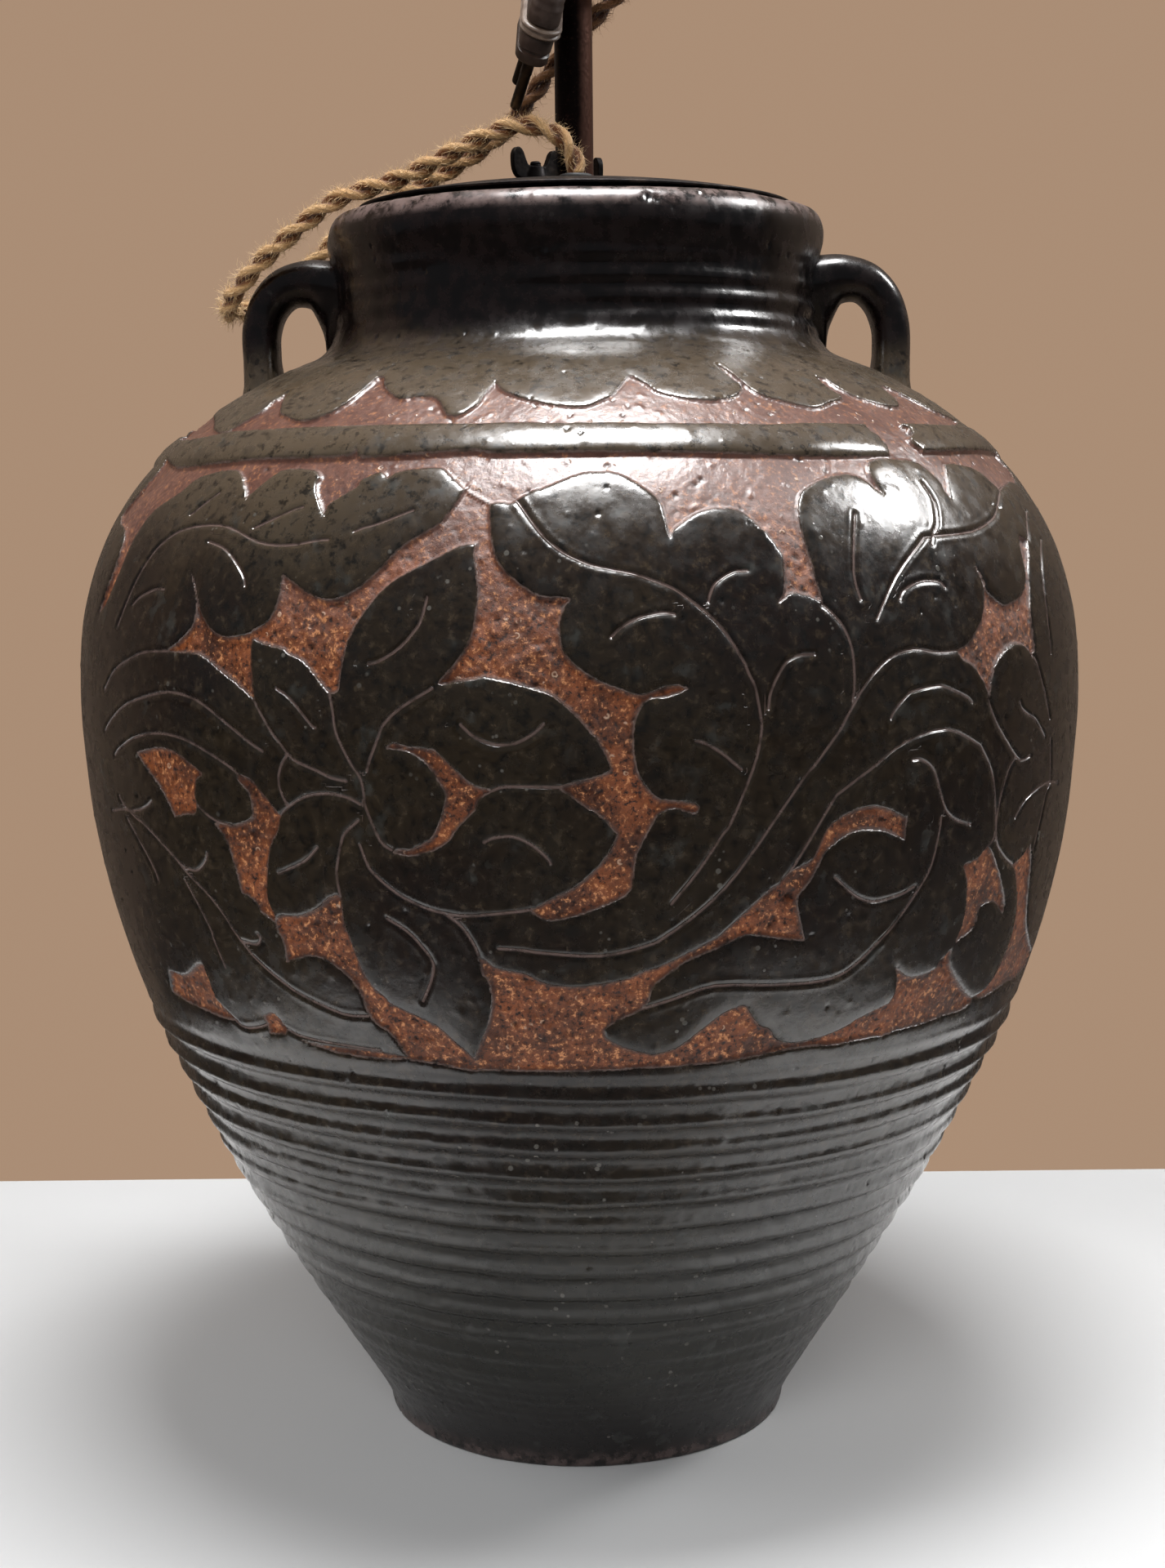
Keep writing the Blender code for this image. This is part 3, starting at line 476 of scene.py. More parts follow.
def fibreMesh(name, points, first, last, count, seed):
    # Loose jute hairs that stand off the flex
    steps, sides = hairSetup["steps"], hairSetup["sides"]
    rng = np.random.default_rng(seed)
    strands = [strandSides(points, strand) for strand in range(2)]
    verts, faces, alongField = [], [], []
    for _ in range(count):
        line, ahead, along, outward, sideways = strands[int(rng.integers(0, 2))]
        k = int(rng.integers(first + 3, last - 4))
        angle = rng.uniform(-0.7, 0.7) * math.pi
        out = outward[k] * math.cos(angle) + sideways[k] * math.sin(angle)
        flow = ahead[k] * rng.choice([-1.0, 1.0]) + 0.35 * np.cross(ahead[k], out)
        length = rng.uniform(*hairSetup["length"])
        lift = rng.uniform(*hairSetup["lift"])
        curl = rng.normal(0.0, hairSetup["curl"], 3)
        radius = rng.uniform(*hairSetup["radius"])
        start = line[k] + (outward[k] + out) * 0.93 * flexSetup["strandAcross"]
        alongField.append(along[k])
        base = len(verts)
        for i in range(steps + 1):
            t = i / steps
            way = flow * (1 - 0.3 * t) + out * lift * (0.4 + 0.9 * t) + curl * t
            place = start + way / np.linalg.norm(way) * length * t
            thin = radius * (1.0 - 0.7 * t)
            for j in range(sides):
                turn = fullTurn * j / sides
                verts.append((place + outward[k] * thin * math.cos(turn)
                              + sideways[k] * thin * math.sin(turn)).tolist())
        for i in range(steps):
            for j in range(sides):
                a, b = base + i * sides + j, base + i * sides + (j + 1) % sides
                faces.append((a, b, b + sides, a + sides))
        tip = base + steps * sides
        faces.append(tuple(range(base, base + sides))[::-1])
        faces.append(tuple(range(tip, tip + sides)))
    mesh = bpy.data.meshes.new(name)
    mesh.from_pydata(verts, [], faces)
    setField(mesh, "ropeAlong", np.repeat(alongField, len(verts) // count))
    return mesh


def shadedBehindStem(tree, base):
    # The flex is painted darker where it passes behind the stem, 0.25 to 0.385 m along: painted
    # shade from the stem
    along = attribute(tree, "ropeAlong")
    behind = times(tree, spread(tree, along, 0.250, 0.300), spread(tree, along, 0.385, 0.370))
    paintedShade = blendColour(tree, 1.0, base, colour(0.32, 0.21, 0.15), "MULTIPLY")
    return blendColour(tree, times(tree, behind, 0.92), base, paintedShade)


def juteMaterial():
    material, tree, shader, where = startMaterial("twistedJute")
    along = attribute(tree, "ropeAlong")
    around = attribute(tree, "ropeAround")
    outward = attribute(tree, "ropeOut")
    place = node(tree, "ShaderNodeCombineXYZ", {0: times(tree, along, 350.0),
                                                1: times(tree, around, 7.0)}).outputs[0]
    streak = grain(tree, place, 1.0, 4.0, 0.6)
    blotch = grain(tree, where, 130.0, 2.0)
    base = blendColour(tree, spread(tree, streak, 0.32, 0.68),
                       colour(0.460, 0.232, 0.080), colour(0.880, 0.580, 0.285))
    base = blendColour(tree, spread(tree, blotch, 0.42, 0.66, 0.0, 0.40), base,
                       colour(0.640, 0.345, 0.130))
    # Painted shade: each strand is painted darker on its inner side, in the crevice between the
    # two strands
    shade = spread(tree, outward, -0.40, 0.80)
    groove = blendColour(tree, 1.0, base, colour(0.27, 0.15, 0.08), "MULTIPLY")
    base = blendColour(tree, shade, groove, base)
    tree.links.new(shadedBehindStem(tree, base), shader.inputs["Base Color"])
    shader.inputs["Roughness"].default_value = 0.82
    shader.inputs["Sheen Weight"].default_value = 0.25
    shader.inputs["Sheen Roughness"].default_value = 0.5
    bumped(tree, shader, plus(tree, streak, grain(tree, where, 1500.0, 2.0)), 0.45 * mm, 0.9)
    return material


def fibreMaterial():
    material, tree, shader, where = startMaterial("juteFibre")
    tone = grain(tree, where, 400.0, 1.0)
    base = blendColour(tree, tone, colour(0.62, 0.38, 0.17), colour(0.92, 0.68, 0.40))
    tree.links.new(shadedBehindStem(tree, base), shader.inputs["Base Color"])
    shader.inputs["Roughness"].default_value = 0.8
    return material


run, wound, tail = flexPath()
jute = juteMaterial()
hair = fibreMaterial()
finePart = evenly([tuple(point) for point in run], flexSetup["fineStep"])
plainPart = evenly([tuple(point) for point in [run[-1]] + wound + tail], flexSetup["plainStep"])
ropePoints = finePart + plainPart[1:]
rope = putIn("juteFlex", ropeMesh("juteFlex", ropePoints), jute)
settle(rope, "fitting", "jute", "flex_run", "flex_winding", "flex_tail")
for name, first, last, count, seed in (
        ("juteFlexHairs", 0, len(finePart), hairSetup["countOnRun"], 3),
        ("juteTailHairs", len(finePart), len(ropePoints), hairSetup["countOnTail"], 9)):
    hairs = fibreMesh(name, ropePoints, first, last, count, seed)
    settle(putIn(name, hairs, hair), "fitting", "jute")
innerPoints = evenly([tuple(point) for point in innerPath()], flexSetup["plainStep"])
innerFlex = putIn("juteFlexInside", ropeMesh("juteFlexInside", innerPoints, squeeze=0.98), jute)
settle(innerFlex, "fitting", "jute", "inner_flex")


# Metal, rubber and moulding finishes

def darkMetal(name, dark, light, roughLow, roughHigh, brushed=(1.0, 1.0, 1.0), paintedShineSide=0.0):
    # With the side setting, the right side is painted lighter from there on, a painted highlight
    material, tree, shader, where = startMaterial(name)
    worn = grain(tree, where, 160.0, 4.0, 0.6)
    if paintedShineSide:
        side = node(tree, "ShaderNodeSeparateXYZ", {0: where}).outputs[0]
        # Painted highlight: the lighter tone grows across the stem's right side
        worn = plus(tree, times(tree, worn, 0.25),
                    spread(tree, side, -0.0005, paintedShineSide, 0.25, 0.60))
    fine = grain(tree, where, 900.0, 2.0, 0.6, stretch=brushed)
    base = blendColour(tree, spread(tree, worn, 0.46, 0.72), dark, light)
    base = blendColour(tree, spread(tree, fine, 0.55, 0.8, 0.0, 0.35), base, light)
    tree.links.new(base, shader.inputs["Base Color"])
    tree.links.new(spread(tree, fine, 0.3, 0.7, roughLow, roughHigh), shader.inputs["Roughness"])
    shader.inputs["Metallic"].default_value = 0.85
    bumped(tree, shader, fine, 0.02 * mm, 0.6)
    return material


def mouldedMaterial(name, dark, light, rough):
    material, tree, shader, where = startMaterial(name)
    cloud = grain(tree, where, 240.0, 3.0)
    fine = grain(tree, where, 2600.0, 2.0)
    base = blendColour(tree, spread(tree, cloud, 0.35, 0.7), dark, light)
    tree.links.new(base, shader.inputs["Base Color"])
    tree.links.new(spread(tree, cloud, 0.3, 0.7, rough - 0.06, rough + 0.08),
                   shader.inputs["Roughness"])
    bumped(tree, shader, fine, 0.03 * mm, 0.5)
    return material


bronze = darkMetal("darkBronze", colour(0.030, 0.018, 0.013), colour(0.085, 0.050, 0.034),
                   0.26, 0.42)
stemBronze = darkMetal("paintedShineBronze", colour(0.016, 0.009, 0.008), colour(0.150, 0.072, 0.052),
                       0.30, 0.44, paintedShineSide=0.0042)
blackened = darkMetal("blackenedIron", colour(0.012, 0.010, 0.010), colour(0.045, 0.034, 0.028),
                      0.38, 0.60)
steel = darkMetal("plainSteel", colour(0.30, 0.29, 0.27), colour(0.52, 0.50, 0.47), 0.28, 0.46,
                  brushed=(1.0, 1.0, 0.2))
pinMetal = darkMetal("darkPinBrass", colour(0.030, 0.022, 0.017), colour(0.095, 0.070, 0.045),
                     0.30, 0.45)
rubber = mouldedMaterial("blackRubber", colour(0.010, 0.010, 0.010), colour(0.022, 0.021, 0.020),
                         0.62)
brownMould = mouldedMaterial("brownMoulding", colour(0.030, 0.0165, 0.0115),
                             colour(0.056, 0.034, 0.025), 0.46)
collarMould = mouldedMaterial("brownCollar", colour(0.115, 0.076, 0.055),
                              colour(0.175, 0.124, 0.092), 0.46)


# Plug at the flex's end

def stadium(width, thickness):
    # A flat outline with round ends
    count = 72
    radius = thickness / 2.0
    straight = width / 2.0 - radius
    perimeter = 4.0 * straight + fullTurn * radius
    points = []
    for i in range(count):
        s = perimeter * i / count
        if s < 2 * straight:
            points.append((straight - s, radius))
        elif s < 2 * straight + math.pi * radius:
            angle = math.pi / 2 + (s - 2 * straight) / radius
            points.append((-straight + radius * math.cos(angle), radius * math.sin(angle)))
        elif s < 4 * straight + math.pi * radius:
            points.append((-straight + s - 2 * straight - math.pi * radius, -radius))
        else:
            angle = -math.pi / 2 + (s - 4 * straight - math.pi * radius) / radius
            points.append((straight + radius * math.cos(angle), radius * math.sin(angle)))
    return points


def loftedPiece(name, sections, material, place):
    # Sections are (width, thickness, height)
    rings = [[(x, y, height) for x, y in stadium(width, thickness)]
             for width, thickness, height in sections]
    mesh = gridMesh(name, np.array(rings), wrapAround=True, capEnds=True)
    mesh.transform(place)
    item = putIn(name, mesh, material)
    item.data.set_sharp_from_angle(angle=math.radians(50.0))
    return item


def makePlug():
    plug = plugSetup
    place = plugFrame()
    gap, width, thick = plug["gap"], plug["width"], plug["thickness"]
    half = plug["collarHeight"] / 2.0
    baseTop = -half - gap
    baseLow = baseTop - plug["baseHeight"]
    edge = 0.8 * mm
    rim = 1.1 * mm

    baseSections = []
    for inset, height in ((1.6 * edge, baseLow), (0.6 * edge, baseLow + 0.25 * edge),
                          (0.0, baseLow + edge), (0.0, baseLow + 3.4 * mm),
                          (0.7 * mm, baseLow + 3.9 * mm), (0.7 * mm, baseLow + 4.5 * mm),
                          (0.0, baseLow + 5.0 * mm), (0.0, baseTop - 0.3 * mm),
                          (0.3 * mm, baseTop)):
        baseSections.append((width - 2 * inset, thick - 2 * inset, height))
    base = loftedPiece("plugBase", baseSections, brownMould, place)

    wide, deep = plug["collarWidth"], plug["collarThickness"]
    collarSections = []
    for inset, height in ((0.9 * mm, -half), (0.15 * mm, -half + 0.35 * mm),
                          (0.0, -half + 0.8 * mm), (0.25 * mm, -half + 1.15 * mm),
                          (0.75 * mm, -half + 1.45 * mm), (0.75 * mm, half - 1.45 * mm),
                          (0.25 * mm, half - 1.15 * mm), (0.0, half - 0.8 * mm),
                          (0.15 * mm, half - 0.35 * mm), (0.9 * mm, half)):
        collarSections.append((wide - 2 * inset, deep - 2 * inset, height))
    collar = loftedPiece("plugCollar", collarSections, collarMould, place)

    low = half + gap
    tall = plug["shellHeight"]
    sleeve = 2.0 * plug["sleeveRadius"]
    shellSections = [(width - rim, thick - rim, low), (width, thick, low + 0.5 * mm)]
    steps = 26
    for i in range(1, steps + 1):
        t = i / steps
        ease = t * t * (3 - 2 * t)
        ribbed = 0.28 * mm * (1.0 if 0.18 < t < 0.72 and i % 4 < 2 else 0.0)
        shellSections.append((width * (1 - 0.56 * ease) - ribbed,
                              thick * (1 - 0.12 * ease) - ribbed * 1.6,
                              low + 0.5 * mm + (tall - 0.5 * mm) * t))
    for i, share in enumerate((1.0, 1.0, 0.9, 0.9, 1.0, 1.0, 0.9, 0.9, 1.0, 1.0, 0.82)):
        height = low + tall + gap + (plug["sleeveHeight"] - gap) * i / 10
        shellSections.append((sleeve * share, (sleeve - gap) * share, height))
    shell = loftedPiece("plugShell", shellSections, brownMould, place)

    pieces = [(base, "brown_moulding", "plug_base"), (collar, "pale_collar", "plug_collar"),
              (shell, "brown_moulding", "plug_shell")]
    for label, side in (("Rear", -1.0), ("Front", 1.0)):
        radius, tip = plug["pinRadius"], baseLow - plug["pinLength"]
        profile = [(0.0, baseLow + plug["pinHold"]), (radius, baseLow + plug["pinHold"]),
                   (radius, baseLow - 5.6 * mm), (radius - 0.12 * mm, baseLow - 5.8 * mm),
                   (radius - 0.12 * mm, tip + 1.5 * mm), (radius * 0.86, tip + 0.8 * mm),
                   (radius * 0.55, tip + 0.2 * mm), (0.0, tip)]
        mesh = turnedMesh("plugPin" + label, profile, 32, closed=False,
                          place=(side * plug["pinSpacing"] / 2.0, 0.0))
        mesh.transform(place)
        pieces.append((putIn("plugPin" + label, mesh, pinMetal), "pin_brass",
                       "plug_pin_" + label.lower()))
    return [settle(item, "fitting", slotName, nodeName) for item, slotName, nodeName in pieces]


plugPieces = makePlug()
print("plug made")


# Jar: one outline turned about the axis, with the carving worked into its skin

jarShape = {
    "outline": [
        (62, 0.4), (69.6, 0.1), (71, 1.6), (71.6, 5), (74.2, 10.6), (80.4, 21),
        (93.6, 42), (108.3, 67), (125, 97), (139.4, 126), (152.6, 155),
        (162.1, 185), (168.3, 214), (171.3, 244), (171.7, 262), (170.6, 280),
        (167.6, 294), (162.7, 308), (156.4, 320), (147.7, 332), (135.8, 344),
        (124, 353), (112.5, 360), (103, 365), (94, 368.6), (88.2, 371.4),
        (84.4, 375.6), (82.5, 381), (82, 388), (82.3, 397), (83.6, 404),
        (84.7, 408.6), (84.8, 412.6), (83.6, 416.8), (81.2, 419.3), (78.2, 420),
        (74.8, 419.6), (72.9, 417.8), (72.5, 415),
    ],
    "widest": 171.92,
    "frontStep": 0.76,
    "backStep": 1.15,
    "fineRow": 0.72,
    "coarseRow": 1.0,
    "fineZone": (148.0, 362.0),
    "groundDepth": 1.2,
    "lineDepth": 0.42,
    "lineHalfWidth": 0.78,
    "ridgeLow": 20.0,
    "ridgeHigh": 158.0,
    "ridgePitch": 9.2,
    "ridgeDepth": 1.75,
    "ringLow": 335.2,
    "ringHigh": 345.2,
    "ringRise": 1.05,
    "lipDrop": 1.7,
    "frontPanels": 7,
    "backPanels": 5,
    "faults": [(-69.2, 209.7, 1.5, 1.3), (-74.3, 416.2, 1.6, 0.9), (-72.6, 415.6, 1.1, 0.7)],
}

# Bare ground between the leaves, picked in the photograph's pixels. Each arc is smooth
# and starts where the one before it ends.
carvedGround = {
    "topLeft": [
        [(205, 562), (155, 622), (147, 640)],
        [(152, 655), (138, 700), (128, 725), (121, 749)],
        [(132, 732), (158, 670), (170, 648), (188, 624), (222, 600), (240, 585), (262, 577),
         (280, 574), (291, 575)],
        [(296, 583), (299, 595), (300, 611)],
        [(306, 603), (335, 580), (352, 573), (383, 574), (391, 582)],
        [(386, 592), (387, 606), (396, 631)],
        [(399, 620), (408, 611), (436, 594), (440, 587), (465, 576), (473, 584)],
        [(482, 578), (500, 573), (536, 571), (548, 578), (568, 598)],
        [(600, 554), (500, 556), (443, 559), (436, 552), (420, 558), (300, 563), (216, 572)],
    ],
    "leftBand": [
        [(568, 598), (558, 614), (541, 636), (530, 645), (493, 667), (461, 699), (438, 719),
         (410, 733), (383, 730), (345, 704)],
        [(340, 733), (329, 758), (310, 771), (303, 776), (278, 780), (265, 777), (255, 769),
         (247, 757), (242, 745), (237, 715), (233, 702)],
        [(239, 732), (236, 762), (219, 784), (203, 797)],
        [(233, 799), (248, 805), (300, 848), (311, 861)],
        [(308, 845), (305, 797), (308, 781)],
        [(318, 787), (344, 794), (352, 801), (371, 811), (396, 843), (402, 848)],
        [(409, 848), (413, 843)],
        [(414, 830), (421, 795), (427, 778), (441, 753), (472, 716), (518, 689), (537, 680),
         (553, 671), (567, 666), (582, 664)],
        [(598, 655), (598, 615)],
    ],
    "centre": [
        [(582, 664), (580, 680), (583, 700), (583, 742), (576, 778), (560, 808), (535, 837)],
        [(545, 837), (582, 831), (598, 830), (655, 844), (682, 856), (713, 885), (722, 896),
         (731, 905), (744, 929), (749, 943)],
        [(738, 950), (683, 965)],
        [(695, 972), (718, 989), (731, 996), (757, 1022)],
        [(745, 1047), (723, 1073), (697, 1092), (682, 1099), (650, 1116)],
        [(663, 1125), (678, 1127), (710, 1120), (760, 1100), (774, 1086)],
        [(777, 1055), (781, 1042), (801, 1004), (808, 996)],
        [(818, 991), (830, 990), (850, 996), (855, 990), (849, 985), (808, 980)],
        [(797, 972), (781, 948), (775, 915), (777, 883), (787, 862), (796, 854)],
        [(815, 853), (830, 849), (842, 843)],
        [(830, 840), (815, 842), (785, 852), (755, 843), (740, 838), (711, 821), (690, 799),
         (684, 770), (690, 743), (698, 733)],
        [(688, 731), (660, 729), (632, 712), (609, 688), (601, 660), (598, 615)],
    ],
    "topRight": [
        [(568, 598), (598, 614), (612, 613), (624, 615), (633, 610)],
        [(650, 600), (668, 595), (702, 581), (735, 576), (765, 582), (803, 607), (813, 627),
         (820, 657)],
        [(827, 646), (850, 629), (865, 623), (885, 621), (902, 623), (915, 630), (940, 653),
         (959, 677)],
        [(961, 690), (961, 722), (954, 738)],
        [(972, 725), (998, 732), (1008, 739)],
        [(992, 682), (980, 643), (979, 608), (994, 592), (1027, 580), (1054, 583), (1082, 604)],
        [(1067, 581), (1063, 571), (1066, 563)],
        [(1080, 560), (1115, 562), (1130, 568), (1151, 587), (1158, 599), (1165, 608)],
        [(1158, 570), (1160, 566)],
        [(1175, 567), (1190, 571), (1204, 579), (1224, 598)],
        [(1230, 594), (1238, 588)],
        [(1244, 590)],
        [(1225, 554), (1120, 553), (1086, 557), (1000, 557), (860, 554), (700, 553), (600, 554)],
    ],
    "rightUpper": [
        [(1195, 692), (1203, 705), (1207, 720), (1205, 755), (1192, 783), (1175, 797)],
        [(1180, 806), (1190, 812), (1199, 821), (1211, 843), (1213, 856)],
        [(1218, 824), (1224, 808), (1232, 797), (1242, 789), (1250, 788), (1258, 792),
         (1266, 802)],
        [(1268, 790), (1263, 752), (1262, 716), (1260, 698), (1260, 680), (1258, 660)],
        [(1249, 655)],
        [(1251, 670), (1258, 703), (1253, 727), (1236, 740), (1226, 738), (1209, 722),
         (1203, 708)],
    ],
    "leftCrescent": [
        [(167, 922), (185, 917), (200, 917), (215, 923), (246, 948)],
        [(238, 955), (236, 970), (238, 988)],
        [(236, 996), (224, 997), (212, 1000)],
        [(205, 984), (190, 957), (180, 944), (172, 931)],
    ],
    "leftStem": [
        [(288, 948), (300, 953), (312, 963), (341, 1000)],
        [(338, 1018), (332, 1030), (327, 1048), (325, 1090), (328, 1108), (335, 1122),
         (336, 1130)],
        [(319, 1117), (314, 1108), (306, 1099), (295, 1094)],
        [(284, 1052), (273, 1025), (262, 1009)],
        [(272, 1010), (283, 1012), (303, 1005), (308, 997), (304, 973), (290, 955)],
    ],
    "flowerCrescent": [
        [(472, 916), (480, 911), (495, 915), (525, 919), (535, 924), (575, 961), (602, 969)],
        [(590, 975), (583, 983), (580, 992), (558, 1015), (547, 1031), (527, 1042), (500, 1048),
         (480, 1043)],
        [(490, 1041), (503, 1041), (522, 1032), (530, 1025), (539, 1005), (544, 985), (544, 970),
         (525, 940), (518, 932), (503, 922), (495, 919)],
    ],
    "lowerLeft": [
        [(336, 1128), (343, 1122), (360, 1123), (375, 1120), (388, 1113), (400, 1102),
         (410, 1097), (416, 1100)],
        [(420, 1130), (430, 1158), (442, 1187), (456, 1210), (470, 1222), (480, 1232),
         (525, 1253), (540, 1262), (578, 1297), (583, 1300)],
        [(583, 1312), (540, 1304), (500, 1298)],
        [(493, 1286), (475, 1263), (463, 1256), (450, 1240), (440, 1215), (425, 1195),
         (402, 1178), (380, 1170), (350, 1178)],
        [(349, 1165), (345, 1150), (338, 1138)],
    ],
    "bottomCentre": [
        [(585, 1172), (592, 1176), (602, 1184), (615, 1189), (645, 1195), (665, 1205),
         (700, 1210), (745, 1205), (775, 1197), (790, 1190), (805, 1186), (832, 1174)],
        [(828, 1184), (803, 1204), (796, 1215), (793, 1226), (785, 1236)],
        [(746, 1255), (739, 1266)],
        [(742, 1273), (763, 1284), (790, 1291), (805, 1292), (835, 1280), (880, 1245),
         (905, 1233), (913, 1233)],
        [(925, 1252), (932, 1258), (941, 1261), (952, 1275), (975, 1278), (1012, 1268),
         (1038, 1256), (1050, 1248), (1088, 1229)],
        [(1096, 1216), (1098, 1200), (1097, 1185)],
        [(1105, 1193), (1118, 1197), (1143, 1188), (1150, 1178), (1164, 1163)],
        [(1163, 1186), (1181, 1216), (1190, 1223)],
        [(1185, 1231), (1170, 1239), (1155, 1243), (1125, 1254), (1095, 1262), (1080, 1268),
         (1060, 1271), (1020, 1279), (980, 1282), (900, 1298), (820, 1306), (780, 1308),
         (740, 1311), (640, 1312), (583, 1310)],
        [(583, 1293), (598, 1255), (603, 1225), (598, 1201), (593, 1196), (589, 1186)],
    ],
    "stemWedge": [
        [(822, 1181), (835, 1172), (870, 1154), (886, 1143), (940, 1093), (952, 1085),
         (972, 1066), (993, 1056), (999, 1047), (1012, 1020), (1022, 1008), (1050, 992),
         (1080, 989), (1111, 1002)],
        [(1109, 1015), (1108, 1028)],
        [(1080, 1017), (1047, 1018), (1018, 1036), (1008, 1047), (995, 1073), (976, 1098)],
        [(976, 1112), (984, 1151)],
        [(965, 1150), (925, 1145), (910, 1146), (875, 1162), (838, 1178), (826, 1188)],
    ],
    "rightMid": [
        [(1211, 1035), (1198, 1051), (1180, 1060)],
        [(1184, 1075), (1184, 1105), (1179, 1130), (1170, 1153)],
        [(1190, 1138), (1195, 1128), (1198, 1115), (1203, 1108), (1217, 1104), (1228, 1118)],
        [(1230, 1108), (1228, 1090), (1222, 1065), (1215, 1045)],
    ],
    "farRight": [
        [(1263, 1035), (1252, 1050), (1240, 1060)],
        [(1244, 1068), (1246, 1110), (1236, 1155), (1218, 1195), (1203, 1214), (1190, 1222)],
        [(1205, 1220), (1232, 1202), (1242, 1197), (1250, 1190), (1258, 1178), (1262, 1165)],
        [(1256, 1130), (1263, 1055)],
    ],
    "lowLeftEdge": [
        [(205, 1190), (225, 1195), (240, 1183), (246, 1182)],
        [(253, 1200), (265, 1228), (288, 1250)],
        [(270, 1246), (230, 1228), (210, 1215)],
    ],
    "lowLeftSpot": [
        [(322, 1245), (335, 1243), (350, 1265), (330, 1266)],
    ],
    "lowLeftStrip": [
        [(370, 1275), (400, 1282), (470, 1291), (500, 1297)],
        [(460, 1297), (410, 1289)],
    ],
    "shoulderLeft": [
        [(220, 539), (235, 526), (261, 507)],
        [(262, 516), (261, 525)],
        [(268, 529), (277, 529), (287, 522), (320, 502), (332, 492), (350, 481)],
        [(345, 490), (342, 502)],
        [(345, 506), (370, 514), (400, 505), (415, 497), (435, 484), (462, 460)],
        [(469, 460), (470, 469), (475, 477), (485, 485), (495, 487), (505, 485), (532, 485),
         (546, 506)],
        [(559, 507), (571, 502), (586, 490), (593, 480), (606, 466)],
        [(620, 479), (664, 492), (705, 497)],
        [(705, 517), (640, 517), (500, 518), (420, 520), (300, 527), (275, 531), (236, 540)],
    ],
    "shoulderRight": [
        [(700, 497), (720, 495), (744, 485), (754, 478), (766, 463), (772, 458)],
        [(793, 470), (805, 478), (837, 486), (876, 489), (899, 484), (907, 477), (909, 472)],
        [(902, 465), (880, 446)],
        [(896, 456), (921, 476), (937, 483), (983, 495), (1001, 497), (1019, 490), (1029, 488)],
        [(1030, 483), (1014, 472), (1001, 460)],
        [(1011, 463), (1024, 472), (1050, 485), (1080, 494), (1096, 496), (1102, 495)],
        [(1098, 487), (1078, 470)],
        [(1092, 474), (1142, 500), (1150, 503)],
        [(1172, 518), (1104, 517), (1057, 518), (1000, 518), (898, 520), (700, 517)],
    ],
    "ringBreak": [
        [(1057, 516), (1065, 528), (1073, 533), (1080, 541), (1086, 546), (1090, 556)],
        [(1128, 556), (1128, 550), (1119, 544), (1113, 537), (1116, 531), (1113, 523),
         (1104, 520)],
        [(1104, 514)],
    ],
}

